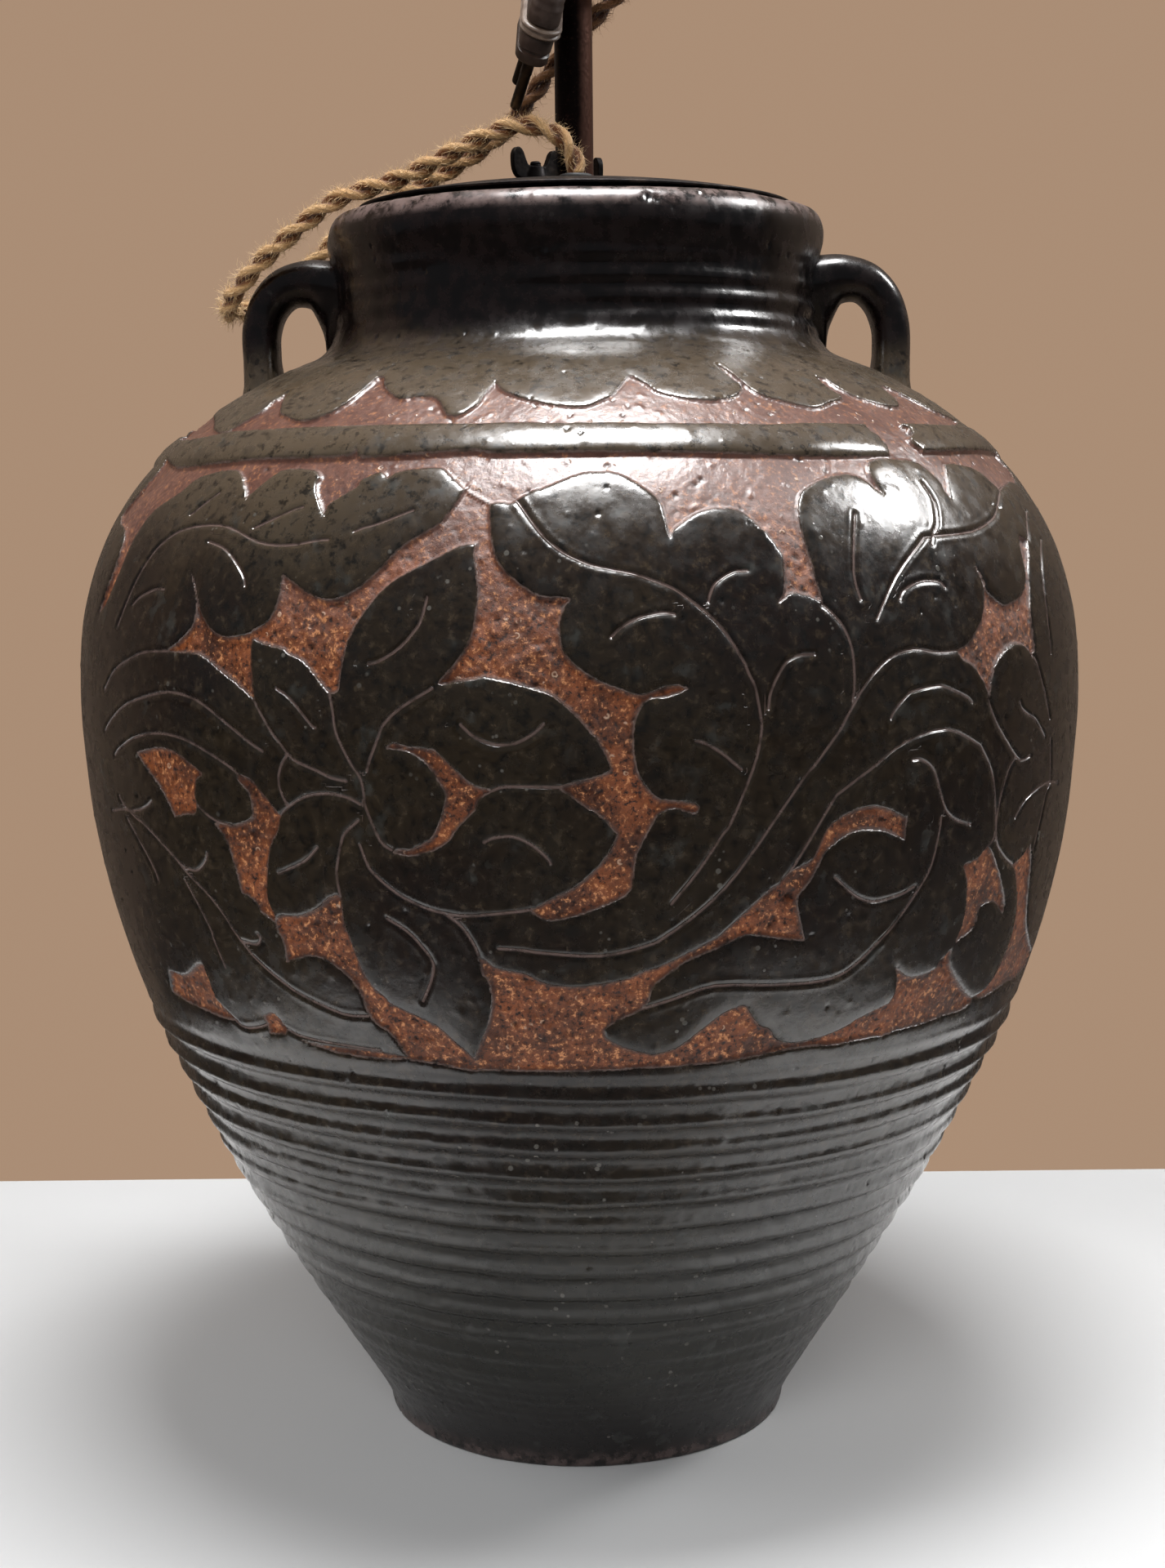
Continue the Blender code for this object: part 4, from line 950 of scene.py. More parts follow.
# Veins and stems cut through the glaze, picked the same way
incisedLines = [
    [(144, 765), (165, 713), (187, 676), (215, 652), (248, 643), (280, 645), (315, 663),
     (350, 667), (388, 661), (401, 660)],
    [(310, 646), (355, 625), (370, 620)],
    [(233, 630), (258, 610), (268, 603)],
    [(255, 663), (268, 668), (280, 677), (296, 702), (299, 717)],
    [(162, 740), (172, 730), (190, 721), (200, 721)],
    [(127, 845), (140, 820), (165, 803), (180, 798), (203, 797)],
    [(128, 895), (135, 882), (155, 862), (197, 848), (225, 851), (250, 864), (300, 906),
     (320, 920)],
    [(433, 650), (445, 645), (460, 641), (505, 624)],
    [(450, 813), (462, 810), (488, 793), (508, 770), (515, 757), (522, 731)],
    [(337, 843), (353, 855), (380, 888), (385, 891)],
    [(633, 612), (660, 650), (685, 673), (715, 688), (735, 694), (775, 702), (815, 716),
     (835, 727), (878, 762), (908, 805), (917, 825), (925, 842), (932, 880), (932, 900),
     (923, 940), (895, 1008), (885, 1022), (855, 1067), (822, 1107)],
    [(748, 780), (758, 770), (780, 757), (810, 750), (826, 752)],
    [(867, 737), (870, 725), (877, 713), (897, 700), (915, 698)],
    [(998, 801), (982, 802), (970, 806), (960, 815), (945, 845), (941, 868)],
    [(1008, 740), (1019, 750), (1035, 770), (1045, 800), (1047, 840), (1045, 858)],
    [(1047, 628), (1046, 700), (1055, 733)],
    [(1130, 590), (1144, 612), (1148, 640), (1144, 652), (1142, 665)],
    [(1075, 757), (1098, 705), (1128, 663), (1138, 656), (1190, 650), (1215, 635), (1221, 622),
     (1226, 598), (1236, 589)],
    [(1103, 733), (1108, 722), (1128, 711), (1150, 711), (1158, 718)],
    [(1178, 796), (1150, 799), (1120, 795), (1090, 806), (1063, 835), (1042, 870), (1030, 893),
     (1000, 935), (982, 957), (905, 1067), (862, 1112), (815, 1147), (790, 1159), (735, 1171),
     (670, 1168), (640, 1164), (610, 1162)],
    [(1092, 880), (1097, 870), (1112, 852), (1122, 846), (1150, 840), (1162, 842), (1185, 853),
     (1192, 860)],
    [(1257, 625), (1258, 640), (1260, 660)],
    [(1275, 660), (1277, 700), (1288, 800)],
    [(1266, 802), (1272, 815), (1281, 850), (1286, 880)],
    [(960, 1078), (970, 1065), (1020, 982), (1030, 970), (1072, 938), (1110, 909), (1160, 893),
     (1197, 910), (1205, 920), (1216, 948), (1219, 980), (1219, 1020), (1212, 1036)],
    [(1213, 856), (1215, 868), (1225, 893), (1246, 928), (1255, 930), (1262, 926)],
    [(1244, 928), (1235, 945), (1223, 990), (1220, 1030), (1230, 1050), (1240, 1059)],
    [(1118, 931), (1130, 931), (1145, 945), (1156, 985), (1162, 997), (1172, 1005),
     (1188, 1010)],
    [(1153, 1000), (1150, 1020), (1140, 1060), (1125, 1088), (1098, 1127), (1080, 1148),
     (1040, 1186), (1005, 1201), (945, 1206), (875, 1207), (825, 1223), (782, 1237)],
    [(1022, 1075), (1040, 1092), (1052, 1100), (1065, 1104), (1078, 1103), (1103, 1095),
     (1120, 1085)],
    [(1250, 860), (1253, 868), (1260, 875), (1270, 882), (1280, 903)],
    [(1243, 1002), (1258, 978), (1280, 960), (1296, 958)],
    [(1287, 905), (1287, 955), (1281, 975), (1266, 1040)],
    [(852, 908), (862, 910), (883, 922), (908, 943)],
    [(402, 850), (406, 870), (408, 888), (413, 905), (428, 935), (441, 955), (446, 985)],
    [(311, 861), (330, 895), (340, 908), (358, 930), (385, 943), (405, 953), (423, 957)],
    [(350, 925), (343, 938), (340, 955), (344, 972), (350, 985)],
    [(341, 1000), (350, 990), (372, 976), (400, 972), (425, 977), (440, 985)],
    [(448, 945), (452, 930), (463, 900), (468, 888), (488, 868), (528, 843)],
    [(602, 969), (620, 964), (683, 965)],
    [(563, 888), (580, 903), (603, 912), (620, 912), (635, 909), (655, 897), (665, 887)],
    [(592, 1032), (603, 1027), (627, 1025), (650, 1035), (668, 1050), (674, 1058)],
    [(440, 1035), (448, 1056), (457, 1070), (485, 1094), (515, 1110), (545, 1119), (580, 1122),
     (650, 1115)],
    [(478, 1041), (465, 1030), (448, 992), (445, 980)],
    [(438, 1005), (422, 1020), (417, 1032), (412, 1060), (412, 1075), (416, 1100)],
    [(340, 1070), (372, 1055), (388, 1038)],
    [(473, 1125), (497, 1140), (517, 1160), (530, 1180), (528, 1200), (518, 1226)],
    [(545, 1120), (565, 1135), (580, 1157), (585, 1170)],
    [(140, 925), (145, 917), (163, 904), (187, 898), (213, 901), (240, 913), (277, 937),
     (288, 947)],
    [(240, 987), (255, 1000), (268, 1008), (283, 1012)],
    [(137, 993), (148, 991), (160, 993), (172, 991), (180, 986), (184, 981)],
    [(145, 975), (150, 985), (165, 1002), (175, 1010), (212, 1050), (228, 1070), (257, 1100),
     (277, 1127), (285, 1140), (313, 1175), (348, 1205), (375, 1222), (420, 1242), (450, 1245)],
    [(155, 1003), (185, 1060), (192, 1078)],
    [(222, 1060), (230, 1065), (240, 1066), (247, 1060), (251, 1052), (252, 1045)],
    [(225, 1078), (255, 1135), (260, 1150), (275, 1185)],
    [(293, 1152), (313, 1157), (318, 1150), (315, 1145)],
    [(265, 1228), (295, 1257), (318, 1258), (330, 1255), (352, 1262), (375, 1272), (440, 1284),
     (465, 1287)],
    [(880, 446), (890, 455), (902, 465)],
    [(1001, 460), (1012, 470), (1024, 479)],
]

# Leaf work at the two sides, where the front and back scrolls meet: (degrees, height in mm)
sideGround = {
    "upperPocket": [
        [(-11.5, 322), (-9.2, 327.5), (-5.5, 330.5), (-1.5, 331), (1.2, 328.5)],
        [(0.2, 323.5), (-2.2, 319), (-4.4, 313), (-5.4, 306)],
        [(-7.6, 309.5), (-10.2, 315), (-11.5, 322)]],
    "upperRight": [
        [(4.2, 331), (7.4, 330.2), (10.4, 327), (12.2, 321.5)],
        [(9.4, 317.5), (7.6, 311), (6.6, 303)],
        [(4.6, 308), (3.2, 315), (3, 323), (4.2, 331)]],
    "leftPocket": [
        [(-12, 300), (-9.5, 302.5), (-7, 300.5), (-5.2, 294), (-4.4, 285)],
        [(-6.6, 279), (-8.8, 271), (-10, 262)],
        [(-11.8, 270), (-12.6, 281), (-12.8, 291), (-12, 300)]],
    "middlePocket": [
        [(-2.4, 303), (0.6, 306), (3, 303), (4.4, 296), (4.6, 287)],
        [(2.6, 280), (0.4, 272), (-0.6, 262)],
        [(-2.2, 269), (-3.2, 279), (-3.4, 291), (-2.4, 303)]],
    "rightPocket": [
        [(8, 298), (10.6, 300), (12.6, 296), (13, 286), (12.4, 274)],
        [(10.4, 268), (8.6, 260), (7.8, 250)],
        [(6.4, 259), (5.8, 271), (6.4, 286), (8, 298)]],
    "lowerLeft": [
        [(-10.6, 251), (-7.6, 254.5), (-4.4, 253), (-2.2, 247), (-1.4, 238)],
        [(-3.4, 230), (-4.8, 221), (-5.2, 210)],
        [(-7.6, 215), (-9.8, 224), (-11, 236), (-10.6, 251)]],
    "lowerMiddle": [
        [(1.6, 243), (4, 247.5), (6.6, 245), (8.4, 238), (9, 228)],
        [(6.4, 221), (4.6, 211), (3.8, 200)],
        [(1.8, 207), (0.6, 218), (0.4, 231), (1.6, 243)]],
    "footLeft": [
        [(-12.4, 203), (-9.4, 205.5), (-6.2, 202), (-4.2, 194), (-3.6, 184)],
        [(-5.6, 176), (-8.6, 171), (-12, 169)],
        [(-13.2, 178), (-13.6, 190), (-12.4, 203)]],
    "footRight": [
        [(1, 190), (4.2, 194.5), (8.2, 195.5), (11.6, 192), (13, 184)],
        [(12.6, 176), (9.8, 170.5), (6, 168.5), (2.2, 170)],
        [(0.4, 176), (0, 183), (1, 190)]],
    "petalLeft": [
        [(-12.6, 349), (-8.6, 351.5), (-4.6, 354.5), (-2.6, 359)],
        [(0, 352.5), (-1.2, 348.4), (-6, 347.2), (-12.6, 347.2)]],
    "petalRight": [
        [(2.6, 347.6), (5, 351), (8, 354.5), (10, 359.5)],
        [(12.2, 354), (13.4, 349.5), (12.6, 347.4), (8, 347.2)]],
}

sideLines = [
    [(-13, 340.5), (-6.5, 336), (0, 334), (7, 335.5), (13, 339)],
    [(-8.2, 325), (-5.5, 318), (-1.2, 312), (1.2, 305.5), (-0.2, 299)],
    [(2.2, 331.5), (1.6, 324), (0.4, 315), (1.8, 308)],
    [(-4, 303), (-3.8, 293), (-5, 283), (-7.6, 273), (-8.4, 262)],
    [(5.4, 300), (5.6, 290), (4.6, 281), (2.6, 272), (1.8, 262)],
    [(-11, 258), (-6.5, 259.5), (-1.5, 256), (2, 250), (3.4, 244)],
    [(-0.6, 249), (0.2, 238), (-1.4, 227), (-2, 214), (-4, 204)],
    [(10, 246), (10.6, 234), (9.6, 222), (8.6, 208), (9.4, 199)],
    [(-2.6, 200), (-0.8, 191), (-0.8, 181), (-2.8, 173)],
    [(3.2, 186), (6, 182), (9.4, 180)],
    [(-13.2, 345.4), (-5, 344.9), (4, 345.1), (13.2, 345.4)],
]


def outlineRows(shape):
    # Evenly spaced rows along the outline: radius, height and distance along it, in mm
    points = [Vector((r, z, 0.0)) for r, z in shape["outline"]]
    line = np.array([(p.x, p.y) for p in smoothCurve(points, 0.25)])
    along = lengthAlong(line)
    low, high = shape["fineZone"]
    fine = (line[:, 1] > low) & (line[:, 1] < high)
    spacing = np.where(fine, shape["fineRow"], shape["coarseRow"])
    pace = np.concatenate([[0.0], np.cumsum(np.diff(along) / spacing[1:])])
    marks = np.linspace(0.0, pace[-1], round(pace[-1]) + 1)
    along = np.interp(marks, pace, along)
    return (*(np.interp(marks, pace, line[:, side]) for side in (0, 1)), along)


def outlineColumns(shape):
    # Angles from the left side round the front to the right side, then round the back
    girth = math.pi * shape["widest"]
    front = np.linspace(-math.pi, 0.0, round(girth / shape["frontStep"]), endpoint=False)
    back = np.linspace(0.0, math.pi, round(girth / shape["backStep"]), endpoint=False)
    return np.concatenate([front, back])


rowRadius, rowHeight, rowAlong = outlineRows(jarShape)
columnAngle = outlineColumns(jarShape)
crownRow = int(np.argmax(rowHeight))


def wrapped(angle):
    return (angle + math.pi) % fullTurn - math.pi


def heightToAlong(height):
    return np.interp(height, rowHeight[:crownRow], rowAlong[:crownRow])


def pixelToWall(pixels):
    # Where the sight lines through these photograph pixels meet the jar: angle and height (mm)
    right, up, ahead = (np.array(axis) for axis in cameraAxes(cameraSetup))
    width, height = cameraSetup["photoSize"]
    spots = np.array(pixels, dtype=float)
    rays = (ahead[None, :] + right[None, :] * (spots[:, :1] - width / 2.0)
            / cameraSetup["focalPixels"]
            - up[None, :] * (spots[:, 1:] - height / 2.0) / cameraSetup["focalPixels"])
    steps = np.linspace(0.56, 0.86, 900)  # metres from the camera, past the front of the wall
    points = np.array(cameraSetup["place"]) + rays[:, None, :] * steps[None, :, None]
    flat = np.hypot(points[..., 0], points[..., 1]) / mm
    wall = np.interp(points[..., 2] / mm, rowHeight[:crownRow], rowRadius[:crownRow])
    outside = flat - wall
    crossed = outside < 0.0
    first = np.where(crossed.any(axis=1), crossed.argmax(axis=1), outside.argmin(axis=1))
    picks = []
    for i, k in enumerate(first):
        before = max(k - 1, 0)
        fall = outside[i, before] - outside[i, k]
        share = outside[i, before] / fall if crossed[i, k] and fall > 1e-9 else 1.0
        spot = points[i, before] * (1 - share) + points[i, k] * share
        picks.append((math.atan2(spot[1], spot[0]), spot[2] / mm))
    return np.array(picks)


def smoothArc(points, steps=4):
    # Two points stay a straight line
    line = [np.array(point, dtype=float) for point in points]
    return eased(line, steps) if len(line) > 2 else [tuple(point) for point in line]


def closedOutline(arcs):
    made, last = [], None
    for arc in arcs:
        points = ([last] if last else []) + arc
        curve = smoothArc(points)
        made.extend(curve[1:] if last else curve)
        last = arc[-1]
    return made


class wallField:
    # Values on the grid of rows and columns over the jar's wall

    def __init__(self, reach):
        self.reach = reach
        self.across = np.full((len(rowAlong), len(columnAngle)), reach)  # offset round the jar
        self.climb = np.zeros((len(rowAlong), len(columnAngle)))  # offset up the wall

    def addLine(self, angles, alongs, target, keepOffset=False):
        for a0, s0, a1, s1 in zip(angles, alongs, angles[1:], alongs[1:]):
            low, high = min(s0, s1) - self.reach, max(s0, s1) + self.reach
            r0, r1 = np.searchsorted(rowAlong, (low, high))
            if r1 <= r0:
                continue
            radius = np.interp((s0 + s1) / 2, rowAlong, rowRadius)
            turn = wrapped(a1 - a0)
            middle = a0 + turn / 2
            span = abs(turn) / 2 + self.reach / radius
            offset = wrapped(columnAngle - middle)
            columns = np.nonzero(np.abs(offset) <= span)[0]
            if not len(columns):
                continue
            across = wrapped(columnAngle[columns] - a0)[None, :] * radius
            climb = (rowAlong[r0:r1] - s0)[:, None]
            du, dv = turn * radius, s1 - s0
            size = max(du * du + dv * dv, 1e-9)
            share = np.clip((across * du + climb * dv) / size, 0.0, 1.0)
            aside, above = across - share * du, climb - share * dv
            away = np.hypot(aside, above)
            here = target[r0:r1][:, columns]
            target[r0:r1, columns] = np.minimum(here, away)
            if keepOffset:
                nearer = away < here
                for field, offset in ((self.across, aside), (self.climb, above)):
                    field[r0:r1, columns] = np.where(nearer, offset, field[r0:r1, columns])


def insideOutline(angles, alongs):
    middle = math.atan2(np.sin(angles).mean(), np.cos(angles).mean())
    corner = wrapped(angles - middle)
    across = wrapped(columnAngle - middle)
    inside = np.zeros((len(rowAlong), len(columnAngle)), dtype=bool)
    count = len(corner)
    for i in range(count):
        a0, s0 = corner[i], alongs[i]
        a1, s1 = corner[(i + 1) % count], alongs[(i + 1) % count]
        if s0 == s1:
            continue
        low, high = np.searchsorted(rowAlong, sorted((s0, s1)))
        if high <= low:
            continue
        crossing = a0 + (rowAlong[low:high] - s0) / (s1 - s0) * (a1 - a0)
        inside[low:high] ^= across[None, :] < crossing[:, None]
    return inside


def carveFields():
    # How far each point is inside the bare ground, and how far from a cut line, in mm.
    # The back has the front's scroll, turned half round.
    reach = 4.0
    field = wallField(reach)
    ground = np.full_like(field.across, -reach)
    outlines = []
    for arcs in carvedGround.values():
        spots = pixelToWall(closedOutline(arcs))
        outlines += [(spots[:, 0] + turn, spots[:, 1]) for turn in (0.0, math.pi)]
    for arcs in sideGround.values():
        spots = np.array(closedOutline(arcs))
        outlines += [(np.radians(spots[:, 0]) + turn, spots[:, 1]) for turn in (0.0, math.pi)]
    for angles, tall in outlines:
        alongs = heightToAlong(tall)
        away = np.full_like(ground, reach)
        field.addLine(np.append(angles, angles[0]), np.append(alongs, alongs[0]), away)
        inside = insideOutline(angles, alongs)
        ground = np.maximum(ground, np.where(inside, away, -away))
    lines = np.full_like(ground, reach)
    drawn = [pixelToWall(smoothArc(points, 3)) for points in incisedLines]
    for points in sideLines:
        spots = np.array(smoothArc(points, 3))
        drawn.append(np.stack([np.radians(spots[:, 0]), spots[:, 1]], axis=1))
    for spots in drawn:
        alongs = heightToAlong(spots[:, 1])
        for turn in (0.0, math.pi):
            field.addLine(spots[:, 0] + turn, alongs, lines, keepOffset=True)
    return ground, lines, field


def softNoise(rng, around, up):
    # Smooth random values over the wall, that many cells round it and up it
    cells = rng.uniform(-1.0, 1.0, (up + 2, around))
    v = rowAlong / rowAlong[-1] * up
    u = (columnAngle + math.pi) / fullTurn * around
    v0, u0 = np.floor(v).astype(int), np.floor(u).astype(int)
    fv, fu = v - v0, u - u0
    fv, fu = fv * fv * (3 - 2 * fv), fu * fu * (3 - 2 * fu)
    u1 = (u0 + 1) % around
    u0 = u0 % around
    low = cells[v0][:, u0] * (1 - fu) + cells[v0][:, u1] * fu
    high = cells[v0 + 1][:, u0] * (1 - fu) + cells[v0 + 1][:, u1] * fu
    return low * (1 - fv)[:, None] + high * fv[:, None]


def smoothStep(values, low, high):
    t = np.clip((values - low) / (high - low), 0.0, 1.0)
    return t * t * (3 - 2 * t)


# Depths in mm. A layer of noise is (depth, cells round the jar, cells up the wall).
reliefShape = {
    "thrown": [(0.45, 5, 5), (0.24, 17, 12), (0.09, 70, 34), (0.035, 230, 110)],
    "grains": [(0.20, 330, 150), (0.24, 720, 330)],
    "smootherClay": (298.0, 332.0),
    "edgeSlope": 0.42,
    "wander": [(0.8, 6, 4), (0.5, 15, 12), (0.28, 40, 30)],
    "bruises": [(0.10, 120, 150), (0.07, 330, 260)],
    "neck": (374.0, 381.0, 399.0, 405.0),
    "fingerPitch": 7.0,
    "lip": (415.5, 418.5),
    "insideShare": 0.5,
}


def layered(rng, layers):
    return sum(depth * softNoise(rng, around, up) for depth, around, up in layers)


def wallRelief(shape, ground, lines):
    marks = reliefShape
    rng = np.random.default_rng(21)
    height = rowHeight[:, None]
    outer = np.arange(len(rowAlong))[:, None] <= crownRow + 4
    relief = layered(rng, marks["thrown"])
    # Bare ground, cut below the leaves and rough from the tool
    smoother = 1.0 - 0.80 * smoothStep(height, *marks["smootherClay"])
    grains = layered(rng, marks["grains"]) * smoother
    cut = smoothStep(ground, -0.35, 0.60)
    relief -= cut * (shape["groundDepth"] - grains - 0.22 * softNoise(rng, 60, 30))
    relief -= marks["edgeSlope"] * np.exp(-np.clip(-ground, 0.0, None) / 1.5) * (ground < 0.0)
    # Incised veins and stems, with a slight burr at each side
    trim = shape["lineHalfWidth"] * (1.0 + 0.20 * softNoise(rng, 160, 70))
    relief -= shape["lineDepth"] * np.exp(-(lines / trim) ** 2) * (1.0 - 0.6 * cut)
    relief += 0.12 * np.exp(-((lines - 1.7) / 0.7) ** 2) * (1.0 - cut)
    # Throwing ridges on the lower wall: broad and rounded, with tight grooves between
    low, high, pitch = shape["ridgeLow"], shape["ridgeHigh"], shape["ridgePitch"]
    turns = height + layered(rng, marks["wander"]) + columnAngle[None, :] / fullTurn * pitch
    phase = turns / pitch * fullTurn
    crest = 0.9 * np.cos(phase) + 0.12 * np.cos(2.0 * phase + 0.6)
    strength = smoothStep(height, low, low + 34.0) * (1.0 - smoothStep(height, high - 7.0, high))
    strength = strength * (0.88 + 0.20 * softNoise(rng, 9, 18))
    strength = strength * (0.45 + 0.55 * smoothStep(height, 34.0, 80.0))
    relief += strength * shape["ridgeDepth"] / 2.0 * crest
    ribbed = smoothStep(-height, -156.0, -140.0) * smoothStep(height, 8.0, 30.0)
    relief += 0.07 * ribbed * np.cos(phase * 2.6 + 3.0 * softNoise(rng, 9, 20))
    relief += ribbed * layered(rng, marks["bruises"])
    # Raised line round the shoulder
    half = (shape["ringHigh"] - shape["ringLow"]) / 2.0
    ring = np.sqrt(np.clip(1.0 - ((height - shape["ringLow"] - half) / half) ** 2, 0.0, 1.0))
    relief += (shape["ringRise"] + 0.16 * softNoise(rng, 60, 20)) * ring * (1.0 - 0.9 * cut)
    # Finger marks round the neck, deepest low down in front, and the lip's uneven roll
    rise, full, fade, end = marks["neck"]
    neck = smoothStep(height, rise, full) * (1.0 - smoothStep(height, fade, end)) * outer
    drift = 2.2 * softNoise(rng, 6, 8)
    inFront = smoothStep(np.cos(columnAngle + math.radians(40.0)), 0.2, 0.9)
    lowNeck = (1.0 - smoothStep(height, 388.0, 402.0)) * (0.1 + 0.9 * inFront)
    relief += (neck * (0.14 + 0.34 * softNoise(rng, 10, 18) + 0.42 * lowNeck)
               * np.cos((height - 379.0 + drift) / marks["fingerPitch"] * fullTurn))
    relief += 0.26 * softNoise(rng, 30, 60) * smoothStep(height, 368.0, 378.0)
    relief += 0.30 * softNoise(rng, 13, 30) * neck
    hollows = smoothStep(softNoise(rng, 34, 16), 0.30, 0.75)
    relief -= 0.5 * hollows * smoothStep(height, *marks["lip"])
    return relief * np.where(outer, 1.0, marks["insideShare"])


def spotArea(angle, along, size):
    # Rows and columns about a spot, and how much of it each point there takes
    reach = 2.5 * size
    r0, r1 = np.searchsorted(rowAlong, (along - reach, along + reach))
    offset = wrapped(columnAngle - angle) * np.interp(along, rowAlong, rowRadius)
    columns = np.nonzero(np.abs(offset) < reach)[0]
    away = np.hypot(offset[columns][None, :], (rowAlong[r0:r1] - along)[:, None])
    return r0, r1, columns, np.exp(-(away / size) ** 2)


def addSpots(relief, mark, ground, rng, count, sizes, depth, where):
    # Burst bubbles, grit and firing pits. A depth below nothing is a grain that stands up.
    for _ in range(count):
        angle = rng.uniform(-math.pi, math.pi)
        along = rng.uniform(0.0, rowAlong[crownRow])
        size = rng.uniform(*sizes)
        r0, r1, columns, amount = spotArea(angle, along, size)
        if r1 <= r0 or not len(columns):
            continue
        middleRow, middleColumn = (r0 + r1) // 2, columns[len(columns) // 2]
        onGround = ground[min(middleRow, len(rowAlong) - 1), middleColumn] > 0.3
        if onGround != (where == "ground"):
            continue
        relief[r0:r1, columns] -= depth * amount
        if depth > 0.0:
            mark[r0:r1, columns] = np.maximum(mark[r0:r1, columns], amount)


def addMarks(relief, mark, marks):
    # Single faults that the photograph shows: degrees, height, size and depth in mm
    for degrees, height, size, depth in marks:
        along = heightToAlong(height)
        r0, r1, columns, amount = spotArea(math.radians(degrees), along, size)
        relief[r0:r1, columns] -= depth * amount
        mark[r0:r1, columns] = np.maximum(mark[r0:r1, columns], amount ** 2)


def wallPoints(shape, relief):
    slopeR = np.gradient(rowRadius, rowAlong)
    slopeZ = np.gradient(rowHeight, rowAlong)
    size = np.hypot(slopeR, slopeZ)
    outR, outZ = slopeZ / size, -slopeR / size
    radius = np.minimum(rowRadius[:, None] + outR[:, None] * relief, shape["widest"])
    height = np.clip(rowHeight[:, None] + outZ[:, None] * relief, 0.0, 420.0)
    nearLeft = 0.5 + 0.5 * np.cos(columnAngle - math.radians(-125.0))
    sunk = smoothStep(rowHeight, 376.0, 418.0)[:, None] * nearLeft[None, :] * shape["lipDrop"]
    return roundPoints(radius, columnAngle, height - sunk) * mm


def gridNormals(points):
    down = np.gradient(points, axis=0)
    across = np.roll(points, -1, axis=1) - np.roll(points, 1, axis=1)
    normals = np.cross(across, down)
    return normals / np.linalg.norm(normals, axis=2, keepdims=True)


def panelMesh(name, points, normals, fields, columns):
    mesh = gridMesh(name, points[:, columns])
    for label, values in fields.items():
        setField(mesh, label, values[:, columns])
    mesh.shade_smooth()
    mesh.normals_split_custom_set_from_vertices(normals[:, columns].reshape(-1, 3).tolist())
    return mesh


glazeTones = {
    "thin": colour(0.0110, 0.0063, 0.0045),
    "thick": colour(0.0215, 0.0145, 0.0078),
    "shoulder": colour(0.095, 0.070, 0.046),
    "mottle": colour(0.0075, 0.0065, 0.0050),
    "darkSpeckle": colour(0.0048, 0.0042, 0.0034),
    "paleSpeckle": colour(0.060, 0.042, 0.025),
    "neckDark": colour(0.0026, 0.0014, 0.0014),
    "neckRed": colour(0.0085, 0.0036, 0.0032),
    "lowWall": colour(0.012, 0.0125, 0.0095),
    "foot": colour(0.0065, 0.0036, 0.0033),
    "patch": colour(0.050, 0.052, 0.047),
    "speck": colour(0.120, 0.112, 0.098),
}
clayTones = {
    "rustDark": colour(0.062, 0.017, 0.006),
    "rust": colour(0.275, 0.069, 0.013),
    "pinkDark": colour(0.110, 0.043, 0.030),
    "pink": colour(0.175, 0.080, 0.058),
    "sand": colour(0.62, 0.260, 0.100),
    "iron": colour(0.022, 0.008, 0.006),
    "chip": colour(0.56, 0.36, 0.24),
    "nearEdgeDark": colour(0.060, 0.030, 0.024),
    "cutLine": colour(0.165, 0.112, 0.098),
    "leafEdge": colour(0.190, 0.130, 0.112),
    "wear": colour(0.190, 0.130, 0.118),
    "pit": colour(0.005, 0.004, 0.004),
}


def carvedMasks(tree, where):
    across, climb = attribute(tree, "lineAcross"), attribute(tree, "lineClimb")
    fray = times(tree, calc(tree, "SUBTRACT", grain(tree, where, 850.0, 3.0), 0.5), 0.8)
    cut = plus(tree, attribute(tree, "groundDepth"), fray)
    return {
        "height": node(tree, "ShaderNodeSeparateXYZ", {0: where}).outputs[2],
        "cut": cut,
        "bare": spread(tree, cut, -0.06, 0.20),
        "line": calc(tree, "SQRT", plus(tree, times(tree, across, across),
                                        times(tree, climb, climb))),
        "cloud": grain(tree, where, 16.0, 4.0),
        "mottle": grain(tree, where, 150.0, 4.0, 0.65),
    }


def spotDistance(tree, where, scale):
    return node(tree, "ShaderNodeTexVoronoi", {"Vector": where, "Scale": scale,
                                               "Randomness": 1.0}).outputs["Distance"]


def coated(tree, base, layers):
    # Each layer is how much of it covers, and its tone
    for share, tone in layers:
        base = blendColour(tree, share, base, tone)
    return base


